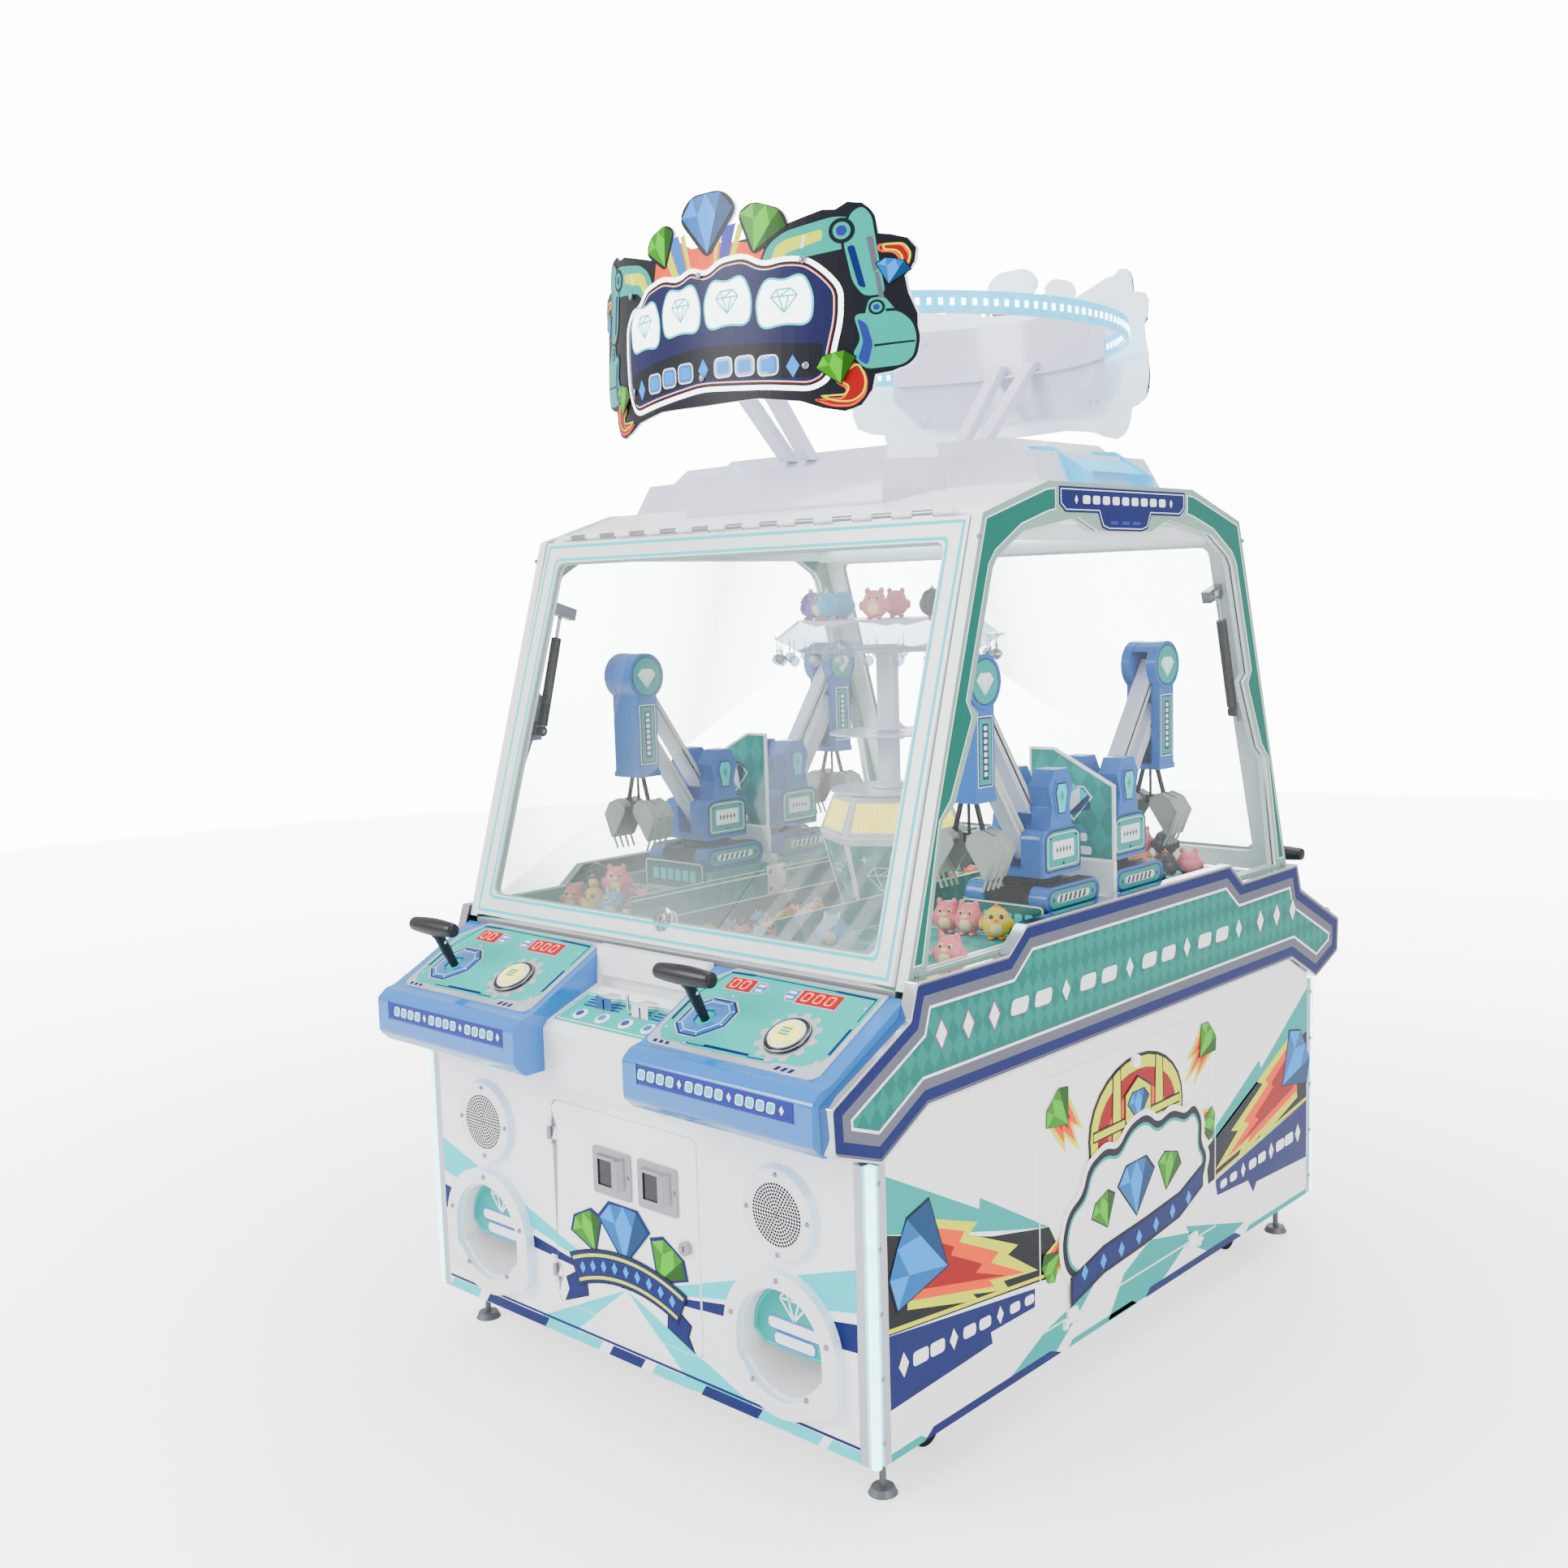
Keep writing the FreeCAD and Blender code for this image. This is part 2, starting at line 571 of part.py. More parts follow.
def side_frame(x0, x1):
    body = prism_x(mirrored(SIDE_OUTLINE_HALF), x0, x1)
    return body.cut(prism_x(mirrored(SIDE_OPENING_HALF), x0 - 1, x1 + 1))


def strut_brackets():
    """Studs that carry the front gas struts' lower ends."""
    out = []
    for side in (-1, 1):
        stud = rod(V(side * 566, STRUT_FOOT.y, STRUT_FOOT.z), V(side * 536, STRUT_FOOT.y, STRUT_FOOT.z), 5)
        plate = box(min(side * 562, side * 566), max(side * 562, side * 566),
                    STRUT_FOOT.y - 14, STRUT_FOOT.y + 14, STRUT_FOOT.z - 20, STRUT_FOOT.z + 20)
        out.append(stud.fuse(plate))
    return out


def pane_outline():
    """The window pane follows the frame's outline, set in from it."""
    return mirrored([(655, 882), (446, 1580), (340, 1632), (165, 1652)])


def side_windows_and_frames():
    frame = side_frame(566, BANNER_X0)
    pane = prism_x(pane_outline(), 577, 581)
    brackets = strut_brackets()
    frames = both_ends([frame.cut(pane)])
    frames += both_ends(brackets)
    return frames, both_ends([pane])


def roof_panel():
    """Folded roof sheet, cross beams, inner rails and the fixed half of both piano hinges."""
    (y0, z0), (y1, z1) = ROOF_EDGE, ROOF_FOLD
    outline = [(y0, z0), (y1, z1), (-y1, z1), (-y0, z0),
               (-y0, z0 - 8), (-y1, z1 - 8), (y1, z1 - 8), (y0, z0 - 8)]
    sheet = prism_x(outline, -565.5, 565.5)
    beam = box(-540, 540, -428, -398, 1596, 1632)
    rails = both_sides_box(540, 564, -400, 400, 1600, 1628)
    front = []
    axis_y, axis_z = HINGE_AXIS.y, HINGE_AXIS.z
    for index, (x0, x1) in enumerate(hinge_strips()):
        if index % 2 == 0:
            front.append(rod(V(x0 + 0.3, axis_y, axis_z), V(x1 - 0.3, axis_y, axis_z), 5))
            front.append(box(x0 + 0.3, x1 - 0.3, axis_y, -430, axis_z - 4.5, axis_z - 1.5))
    span = KNUCKLE * KNUCKLE_COUNT / 2 - 0.3
    pin = rod(V(-span, axis_y, axis_z), V(span, axis_y, axis_z), 2)
    hinge = fuse([pin] + front)
    return sheet, both_ends([beam]) + rails, hinge


def roof_nodes():
    sheet, beams, hinge = roof_panel()
    sheet = fuse([sheet, hinge, turned(hinge)])
    return [sheet] + [cut(beam, [sheet]) for beam in beams]


COVER_HALF = [(265, -328), (350, -242), (540, -216), (540, 216), (350, 242), (265, 328)]


def roof_cover():
    """Two-tier moulded roof cover and the two pairs of edge-lit fins beside it."""
    def loop(scale_x, scale_y, z, inset):
        points = [V(x * scale_x, y * scale_y, z) for x, y in mirrored(COVER_HALF)]
        face = outline_face(points)
        return face.makeOffset2D(-inset).OuterWire if inset else face.OuterWire

    def tiers(inset):
        lower = [loop(1, 1, 1630, inset), loop(1, 1, 1706 - inset, inset),
                 loop(0.95, 0.92, 1765 - inset, inset)]
        upper = [loop(0.86, 0.82, 1764 - inset, inset), loop(0.80, 0.74, 1796 - inset, inset)]
        return fuse([Part.makeLoft(lower, True, True), Part.makeLoft(upper, True, True)])

    cover = tiers(0.0).cut(tiers(6.0))
    (y0, z0), (y1, z1) = ROOF_EDGE, ROOF_FOLD
    far = 700.0
    drop = z0 - (far - y0) * (z1 - z0) / (y0 - y1)
    below = prism_x(mirrored([(far, drop), ROOF_FOLD]) + [(-far, 1500), (far, 1500)], -far, far)
    cover = cover.cut(below)
    fins = []
    for y in (-110, 110):
        fin = prism_y([(325, 1764), (325, 1790), (500, 1776), (584, 1722), (584, ROOF_TOP + 0.5),
                       (500, ROOF_TOP + 0.5)], y - 5, y + 5)
        fins.append(fin)
    bridge = prism_y([(520, 1755), (528, 1755), (572, 1727), (566, 1727)], -105, 105)
    fins.append(bridge)
    right = cut(fuse(fins), [cover])
    right = [s for s in right.Solids]
    left = [s.mirror(V(0, 0, 0), V(1, 0, 0)) for s in right]
    return [cover] + right + left


# ---------------------------------------------------------------- topper
STRUT_FEET = V(26.0, -262.0, 1780.0)       # front right topper strut
STRUT_HEADS = V(46.0, -499.0, 2034.0)
WALL_Z = (1903.0, 2132.0)                  # curved backing plate behind each sign
BOLT_X = (-229.0, 0.0, 229.0)
BOLT_Z = (1922.0, 2107.0)


def leaning_tube(foot, head):
    """A square tube from foot to head with level end faces."""
    half = 15.0
    base = [foot + V(dx, dy, 0) for dx, dy in ((-half, -half), (half, -half), (half, half), (-half, half))]
    return outline_face(base).extrude(head - foot)


def ring_part(inner, outer, z0, z1):
    ring = Part.makeCylinder(outer, z1 - z0, V(0, 0, z0))
    return ring.cut(Part.makeCylinder(inner, z1 - z0 + 2, V(0, 0, z0 - 1)))


def topper_frame(cover):
    """Lit hoop; at each end a curved backing plate, a narrower ledge, two struts and the sign's bolts."""
    hoop = ring_part(HOOP_RADIUS - 4, HOOP_RADIUS + 4, *HOOP_Z)
    outline = prism_y([(-295, 1972), (-236, WALL_Z[0]), (236, WALL_Z[0]), (295, 1972), (295, 2090),
                       (250, WALL_Z[1]), (-250, WALL_Z[1]), (-295, 2090)], -600, -300)
    wall = ring_part(HOOP_RADIUS - 7, HOOP_RADIUS - 4, *WALL_Z).common(outline)
    ledge = ring_part(HOOP_RADIUS - 24, HOOP_RADIUS - 4, HOOP_Z[0] - 5, HOOP_Z[0])
    ledge = ledge.common(box(-285, 285, -600, -300, 2000, 2020))
    tubes = [leaning_tube(V(s * STRUT_FEET.x, STRUT_FEET.y, STRUT_FEET.z),
                          V(s * STRUT_HEADS.x, STRUT_HEADS.y, STRUT_HEADS.z)) for s in (-1, 1)]
    tubes = [tube.cut(cover) for tube in tubes]
    end = [wall, ledge] + [max(tube.Solids, key=lambda solid: solid.Volume) for tube in tubes]
    bolts = []
    for x in BOLT_X:
        inner_edge = max(abs(x) - 6, 0)
        front = SIGN_CENTRE_Y - sqrt((SIGN_RADIUS - 6) ** 2 - inner_edge ** 2)
        for z in BOLT_Z:
            bolt = rod(V(x, front - 8, z), V(x, -400, z), 6)
            bolt = bolt.cut(Part.makeCylinder(HOOP_RADIUS - 12, 400, V(0, 0, 1850)))
            bolts.append(bolt.cut(sign_sheet(40)))
    end += [solid for bolt in bolts for solid in bolt.Solids if solid.CenterOfMass.y > front - 4]
    return fuse([hoop] + both_ends(end))


def sign_sheet(extra=0.0):
    """The cylinder sheet that the sign is cut from; extra makes it thicker towards the front."""
    axis = V(0, SIGN_CENTRE_Y, 1780)
    sheet = Part.makeCylinder(SIGN_RADIUS + extra, 540, axis)
    return sheet.cut(Part.makeCylinder(SIGN_RADIUS - 6, 540, axis))


SIGN_HALF = [(0, 1870), (128, 1872), (215, 1860), (255, 1845), (293, 1837), (322, 1846), (340, 1872),
             (345, 1898), (372, 1902), (400, 1915), (411, 1950), (411, 2000), (398, 2036), (393, 2066),
             (408, 2088), (411, 2112), (398, 2130), (372, 2138), (352, 2141), (346, 2175), (330, 2195),
             (305, 2199), (285, 2188), (262, 2190), (150, 2162), (0, 2150)]
SIGN_GEMS = ((30, 2205, 60), (142, 2180, 44), (-112, 2186, 40))


def sign_panel():
    """Curved front sign: one flat silhouette, cut from a cylindrical sheet."""
    outline = prism_y(mirrored(SIGN_HALF), -560, -250)
    gems = [rod(V(x, -560, z), V(x, -250, z), radius) for x, z, radius in SIGN_GEMS]
    return fuse([outline] + gems).common(sign_sheet())


# ---------------------------------------------------------------- play field
PIT_X = 197.0
PIT_Y = 585.0
PIT_Z = 740.0


def playfield_deck():
    deck = box(-565, 565, -690, 690, DECK_Z - DECK_T, DECK_Z)
    deck = deck.cut(box(-PIT_X, PIT_X, -PIT_Y, PIT_Y, DECK_Z - DECK_T - 1, DECK_Z + 1))
    floor = box(-PIT_X - 6, PIT_X + 6, -PIT_Y - 6, PIT_Y + 6, PIT_Z - 8, PIT_Z)
    walls = [box(-PIT_X - 6, PIT_X + 6, s * (PIT_Y + 3) - 3, s * (PIT_Y + 3) + 3, PIT_Z, DECK_Z)
             for s in (-1, 1)]
    rails = both_sides_box(PIT_X, PIT_X + 6, -PIT_Y, PIT_Y, PIT_Z, 922)
    tray = [fuse([deck, floor] + walls + rails)]
    quarter = []
    quarter.append(box(215, 560, -470, -264, DECK_Z, DECK_Z + 10))
    quarter.append(box(359, 545, -226, -221, DECK_Z, 925))
    quarter.append(box(338, 556, -218, -32, DECK_Z, 904))
    mirrored_quarter = four_corners(quarter)
    dividers = []
    for s in (-1, 1):
        edge = [(s * 366, 979), (s * 366, 1199), (s * 425, 1199), (s * 562, 1130), (s * 562, 979)]
        dividers.append(prism_y(edge, -3, 3))
        dividers.append(box(min(s * 366, s * 562), max(s * 366, s * 562), -6, 6, 915, 979))
        dividers.append(box(min(s * 480, s * 560), max(s * 480, s * 560), -26, 26, DECK_Z, 915))
        dividers.append(box(min(s * 366, s * 480), max(s * 366, s * 480), -26, 26, DECK_Z, 915))
    foot = [fuse(dividers[0:4]), fuse(dividers[4:8])]
    brackets = [box(s * (PIT_X - 2) - 2, s * (PIT_X - 2) + 2, t * 160 - 28, t * 160 + 28, 868, 930)
                for s in (-1, 1) for t in (-1, 1)]
    return tray + mirrored_quarter + foot + brackets


def prize_tower():
    """Middle tower: tapered foot, lit window tier, pole, shelf discs and canopy."""
    def octagon(radius, z):
        pts = [V(radius * cos(pi / 8 + i * pi / 4), radius * sin(pi / 8 + i * pi / 4), z) for i in range(8)]
        return Part.makePolygon(pts + [pts[0]])

    def square(radius, z):
        pts = [V(radius * cos(pi / 6 + i * pi / 3), radius * sin(pi / 6 + i * pi / 3), z) for i in range(6)]
        return Part.makePolygon(pts + [pts[0]])

    foot = Part.makeLoft([square(84, PIT_Z), square(152, 985)], True, True)
    belt = Part.makeLoft([square(152, 985), square(158, 1000)], True, True)
    tier = Part.makeLoft([square(158, 1000), square(122, 1085)], True, True)
    base = fuse([foot, belt, tier])
    low_shelf = Part.makeCylinder(128, 5, V(0, 0, 1090))
    neck = Part.makeCylinder(60, 6, V(0, 0, 1084.5))
    pole = rod(V(0, 0, 1094), V(0, 0, 1392), 24)
    shelf = Part.makeCylinder(128, 4, V(0, 0, 1213))
    shelf_ring = Part.makeCylinder(34, 14, V(0, 0, 1201))
    stem = fuse([neck, low_shelf, pole, shelf, shelf_ring])
    canopy = Part.makeLoft([octagon(205, 1392), octagon(254, 1420)], True, True)
    rim = Part.makeLoft([octagon(258, 1420), octagon(258, 1424)], True, True)
    crown = Part.makeLoft([octagon(250, 1424), octagon(200, 1460)], True, True)
    top = fuse([canopy, rim, crown])
    beads = []
    for i in range(24):
        a = 2 * pi * i / 24
        radius = 236.0
        at = V(radius * cos(a), radius * sin(a), 1378)
        beads.append(Part.makeSphere(11, at))
        beads.append(rod(at + V(0, 0, 10), V(at.x, at.y, 1404), 1.2))
    pendants = [beads[i].fuse(beads[i + 1]).cut(top) for i in range(0, 48, 2)]
    return [base, stem.cut(base), top.cut(stem)] + pendants


def control_unit():
    """Main board box, power supply and one coin box behind each coin door."""
    board = box(-160, 160, -90, 90, BODY_Z0 + 52, 300)
    board = board.cut(box(-158, 158, -88, 88, BODY_Z0 + 54, 298))
    supply = box(220, 380, -100, 100, BODY_Z0 + 52, 240)
    supply = supply.cut(box(222, 378, -98, 98, BODY_Z0 + 54, 238))
    fan = Part.makeCylinder(38, 6, V(300, 0, 240))
    bins = both_ends([box(-150, 150, -700, -420, BODY_Z0 + 52, 330).cut(
        box(-144, 144, -694, -426, BODY_Z0 + 58, 340))])
    return [board, supply, fan] + bins


# ---------------------------------------------------------------- excavator (front right, own frame)
def track(x0, x1):
    shape = box(x0, x1, -92.5, 92.5, 906, 956)
    return round_edges(shape, V(1, 0, 0), 24.5)


def track_base():
    tracks = [track(53, 93), track(-93, -53)]
    chassis = box(-54, 54, -84, 84, 912, 950)
    plinth = box(-80, 80, -70, 70, 904, 912.5)
    ring = Part.makeCylinder(58, SLEW_GAP_Z - 949, V(0, 0, 949))
    pin = Part.makeCylinder(15, 20, V(0, 0, SLEW_GAP_Z))
    return fuse(tracks + [chassis, plinth, ring, pin])


HOOD_HALF = [(38, 1058), (30, 1100), (41, 1140), (22, 1172)]


def upper_body():
    cab = box(-71, 71, -67, 67, CAB_Z0, CAB_Z1)
    cab = round_edges(cab, V(1, 0, 0), 22, lambda p: p.z > CAB_Z1 - 1)
    cab = round_edges(cab, Z_AXIS, 9)
    slot = box(-20, 20, -68, -6, 985, CAB_Z1 + 1)
    parts = [cab.cut(slot)]
    for x0, x1 in ((23, 67), (-67, -23)):
        parts.append(prism_x(mirrored(HOOD_HALF), x0, x1))
    parts.append(rod(V(-60, BOOM_FOOT.y, BOOM_FOOT.z), V(60, BOOM_FOOT.y, BOOM_FOOT.z), 6))
    link_z = BOOM_FOOT.z - LINK_DROP
    parts.append(rod(V(-30, BOOM_FOOT.y, link_z), V(30, BOOM_FOOT.y, link_z), 5))
    shape = fuse(parts)
    return shape.cut(Part.makeCylinder(15 + PIN_CLEARANCE, 22, V(0, 0, CAB_Z0 - 2)))


def bar(start, end, half_x, half_h, bore_start, bore_end):
    """A rectangular bar with round ends and a bore at each end, from start to end."""
    along = end - start
    length = along.Length
    shape = box(-half_x, half_x, 0, length, -half_h, half_h)
    for y in (0, length):
        shape = shape.fuse(rod(V(-half_x, y, 0), V(half_x, y, 0), half_h))
    shape = shape.removeSplitter()
    shape = shape.cut(rod(V(-half_x - 1, 0, 0), V(half_x + 1, 0, 0), bore_start))
    shape = shape.cut(rod(V(-half_x - 1, length, 0), V(half_x + 1, length, 0), bore_end))
    turn = FreeCAD.Rotation(V(0, 1, 0), along)
    flip = FreeCAD.Rotation(V(1, 0, 0), 0)
    shape.Placement = FreeCAD.Placement(start, turn.multiply(flip))
    return shape


def boom():
    return bar(BOOM_FOOT, BOOM_HEAD, 17, 13, 6 + PIN_CLEARANCE, 6 + PIN_CLEARANCE)


def link_bar():
    drop = V(0, 0, LINK_DROP)
    return bar(BOOM_FOOT - drop, BOOM_HEAD - drop, 17, 11, 5 + PIN_CLEARANCE, 5.6)


def stick():
    """Head cheeks, housing, flange, hanger rods and the pull rod of the grab."""
    y, z = BOOM_HEAD.y, BOOM_HEAD.z
    parts = []
    for x0, x1 in ((19.5, 41), (-41, -19.5)):
        parts.append(rod(V(x0, y, z), V(x1, y, z), 50))
        outer, inner = (x1, x0) if x1 > 0 else (x0, x1)
        parts.append(box(min(inner, outer * 0.95), max(inner, outer * 0.95), y - 29, y + 29, 1136, z - 40))
    parts.append(box(-20, 20, y - 29, y - 24, 1136, z - 30))
    hood = rod(V(-20, y, z), V(20, y, z), 49).cut(rod(V(-21, y, z), V(21, y, z), 43))
    keep_out = prism_x([(y + 8, z - 60), (y + 70, z - 60), (y + 70, z + 25), (y + 20, z + 30)], -22, 22)
    parts.append(hood.cut(keep_out).cut(box(-22, 22, y - 20, y + 60, z - 60, z)))
    parts.append(box(-40, 40, y - 32, y + 32, 1128, 1140))
    parts.append(rod(V(-30, y, z), V(30, y, z), 6))
    parts.append(rod(V(-30, y, z - LINK_DROP), V(30, y, z - LINK_DROP), 5))
    parts.append(rod(V(0, y, 1066), V(0, y, 1130), 3))
    parts.append(rod(V(0, y, 1054), V(0, y, 1072), 11))
    for s in (-1, 1):
        parts.append(rod(V(s * 16, y, 1130), V(s * (JAW_PIVOT_X + 0.5), y, JAW_PIVOT_Z), 5))
        parts.append(rod(V(s * JAW_PIVOT_X, y - 22, JAW_PIVOT_Z), V(s * JAW_PIVOT_X, y + 22, JAW_PIVOT_Z), 4))
    return fuse(parts)


JAW_OUTER = [(17, 3), (36, 14), (62, 4), (80, -22), (58, -74), (52, -70), (14, -14)]
JAW_INNER = [(20, 0), (37, 10), (60, 1), (75, -22), (56, -66), (17, -14)]


def jaw(side):
    """One grab jaw, opening towards side (+1 or -1) along X."""
    y = BOOM_HEAD.y
    z = JAW_PIVOT_Z
    half = 31.0
    shell = prism_y([(x, z + h) for x, h in JAW_OUTER], y - half, y + half)
    hollow = prism_y([(x, z + h) for x, h in JAW_INNER], y - half + 3, y + half - 3)
    mouth = prism_y([(10, z - 20), (52, z - 76), (56, z - 64), (24, z - 6), (12, z - 2)],
                    y - half + 3, y + half - 3)
    shape = shell.cut(hollow).cut(mouth)
    hub = [rod(V(JAW_PIVOT_X, y + a, z), V(JAW_PIVOT_X, y + b, z), 9) for a, b in ((-28, -8), (8, 28))]
    shape = fuse([shape] + hub)
    shape = shape.cut(box(0, 60, y - 7.5, y + 7.5, z - 12, z + 20))
    shape = shape.cut(rod(V(JAW_PIVOT_X, y - 22.2, z), V(JAW_PIVOT_X, y + 22.2, z), 4 + PIN_CLEARANCE))
    tines = []
    for offset in (-20, -4, 12, 28):
        tines.append(rod(V(56.5, y + offset, z - 66), V(43, y + offset, z - 97), 2.5))
    shape = fuse([shape] + tines)
    if side < 0:
        shape.rotate(V(0, y, 0), Z_AXIS, 180)
    return shape


def place_digger(shape, corner):
    """Move a part from the excavator's own frame to one corner of the play field."""
    sides = {"front_right": 1, "front_left": -1, "rear_right": -1, "rear_left": 1}
    copy = moved(shape, sides[corner] * DIGGER_X, DIGGER_Y)
    return turned(copy) if corner.startswith("rear") else copy


# ---------------------------------------------------------------- gas struts
def strut_cylinder():
    along = STRUT_HEAD - STRUT_FOOT
    along.normalize()
    out = []
    for side in (-1, 1):
        foot = V(side * STRUT_X, STRUT_FOOT.y, STRUT_FOOT.z)
        body = rod(foot + along * 12, foot + along * 205, 11)
        eye = rod(foot - V(7, 0, 0), foot + V(7, 0, 0), 11)
        shape = fuse([body, eye])
        shape = shape.cut(rod(foot - V(20, 0, 0), foot + V(20, 0, 0), 5 + PIN_CLEARANCE))
        out.append(shape.cut(rod(foot + along * 60, foot + along * 206, 4 + PIN_CLEARANCE)))
    return out


def strut_rod():
    along = STRUT_HEAD - STRUT_FOOT
    length = along.Length
    along.normalize()
    out = []
    for side in (-1, 1):
        foot = V(side * STRUT_X, STRUT_FOOT.y, STRUT_FOOT.z)
        head = foot + along * length
        shaft = rod(foot + along * 62, head, 4)
        eye = rod(head - V(6, 0, 0), head + V(6, 0, 0), 10)
        out.append(fuse([shaft, eye]))
    return out


# ---------------------------------------------------------------- write everything
def main():
    os.makedirs("parts", exist_ok=True)
    frames, panes = side_windows_and_frames()
    write("base_frame", base_frame())
    write("cabinet_panels", cabinet_panels())
    write("control_unit", control_unit())
    write("side_banners", side_banners())
    write("console_shells", console_shells())
    write("panel_fittings", panel_fittings())
    write("side_frames", frames)
    write("side_windows", panes)
    write("roof_panel", roof_nodes())
    cover = roof_cover()
    write("roof_cover", cover)
    write("topper_frame", topper_frame(cover[0]))
    write("sign_panels", both_ends([sign_panel()]))
    write("playfield_deck", playfield_deck())
    write("prize_tower", prize_tower())

    plate = slope(control_plate())
    write("console_plates", both_ends([plate, moved(plate, LEFT_SHIFT, 0)]))
    ends = {"front": lambda s: s, "rear": turned}
    for end, put in ends.items():
        write(end + "_glass_door", [put(s) for s in glass_door()])
        write(end + "_coin_door", put(coin_door()))
        write(end + "_strut_cylinders", [put(s) for s in strut_cylinder()])
        write(end + "_strut_rods", [put(s) for s in strut_rod()])
        write(end + "_caster_wheels", [put(caster_wheel(x)) for x in (CASTER_X, -CASTER_X)])
    write("right_side_hatch", side_hatch())
    write("left_side_hatch", turned(side_hatch()))

    players = {"front_right": lambda s: s, "front_left": lambda s: moved(s, LEFT_SHIFT, 0),
               "rear_left": turned, "rear_right": lambda s: turned(moved(s, LEFT_SHIFT, 0))}
    for player, put in players.items():
        write(player + "_joystick", put(joystick()))
        write(player + "_push_button", put(push_button()))

    write("track_bases", [place_digger(track_base(), corner) for corner in players])
    pieces = {"upper_body": upper_body(), "boom": boom(), "link_bar": link_bar(), "stick": stick(),
              "jaw_a": jaw(1), "jaw_b": jaw(-1)}
    for corner in players:
        for name, shape in pieces.items():
            write(corner + "_" + name, place_digger(shape, corner))


main()
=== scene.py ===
"""Looks of the four-player miniature digger prize machine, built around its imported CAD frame.

Sizes in this script are millimetres, and turn into metres where a mesh is made. The rear end of
the machine is the front end turned half a turn about Z, so the front's pieces are made once and
turned for the rear.
"""
import random
from math import cos, hypot, pi, radians, sin, sqrt

import bmesh
import bpy
from mathutils import Matrix, Vector


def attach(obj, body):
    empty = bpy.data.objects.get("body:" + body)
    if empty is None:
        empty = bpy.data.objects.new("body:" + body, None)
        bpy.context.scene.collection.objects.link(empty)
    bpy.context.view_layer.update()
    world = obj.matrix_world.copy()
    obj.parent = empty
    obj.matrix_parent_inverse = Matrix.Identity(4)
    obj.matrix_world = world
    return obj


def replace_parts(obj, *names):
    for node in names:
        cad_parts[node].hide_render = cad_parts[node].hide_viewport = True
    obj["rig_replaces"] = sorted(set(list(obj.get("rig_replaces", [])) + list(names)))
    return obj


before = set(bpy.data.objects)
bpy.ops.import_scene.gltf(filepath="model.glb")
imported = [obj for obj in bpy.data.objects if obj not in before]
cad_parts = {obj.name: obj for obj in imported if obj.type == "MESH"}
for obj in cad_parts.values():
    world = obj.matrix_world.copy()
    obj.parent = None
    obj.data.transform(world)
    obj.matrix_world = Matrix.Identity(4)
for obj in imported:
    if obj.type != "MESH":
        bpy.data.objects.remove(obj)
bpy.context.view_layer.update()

MM = 0.001
FILM = 0.35               # thickness of a printed film
LAYER = 0.25              # rise of one printed film over the one below
HALF_TURN = Matrix.Rotation(pi, 4, "Z")

SIDE_X = 600.0            # outer face of the side panels
SIDE_Y = 768.0            # half length of a side panel between its posts
FRONT_Y = -805.0          # outer face of the front panel
BANNER_FACE = 610.0       # outer face of the side banners
HOUSE_X = 588.0           # outer face of the side frames
CONSOLE_Y = -924.0        # floor of the label recess in the consoles' front
DOOR_TILT = radians(17.3)
DOOR_FOOT = (-697.0, 870.0)
DOOR_LENGTH = 806.0
DOOR_HALF = 562.0
DOOR_RIM = 45.0
PLATE_SLOPE = radians(27.8)
PLATE_FOOT = (-881.0, 752.0)
LEFT_SHIFT = -721.0       # from the right console to the left one
DECK_Z = 860.0
DIGGER_X = 451.0
DIGGER_Y = -122.0
STICK_HEAD = (-203.0, 1348.0)    # y and z of the boom's upper pin, from its digger's axis
HOOP_RADIUS = 510.0
HOOP_Z = 2030.0
SIGN_RADIUS = 720.0
SIGN_CENTRE_Y = 195.0
OUTLET_X = 403.0          # prize outlets and loudspeakers, from the middle

CORNERS = {"front_right": (1, 0.0), "front_left": (-1, 0.0), "rear_left": (1, pi), "rear_right": (-1, pi)}


# ---------------------------------------------------------------- materials
MATERIALS = {}
PRINT_SHINE = 0.18
STUDIO_LIGHT = 2.3        # how much brighter than its own colour a surface looks in the studio
SATURATION = 1.3


def rgb(red, green, blue):
    """Surface colour that comes out as these display values of 0 to 255 under the studio light."""
    values = [0.33 * (value / 255) ** 1.33 / (1.02 - value / 255) ** 0.66 / STUDIO_LIGHT
              for value in (red, green, blue)]
    grey = sum(values) / 3
    return tuple(min(0.9, max(0.001, grey + (value - grey) * SATURATION)) for value in values) + (1.0,)


def shade(colour, factor):
    return tuple(min(1.0, value * factor) for value in colour[:3]) + (1.0,)


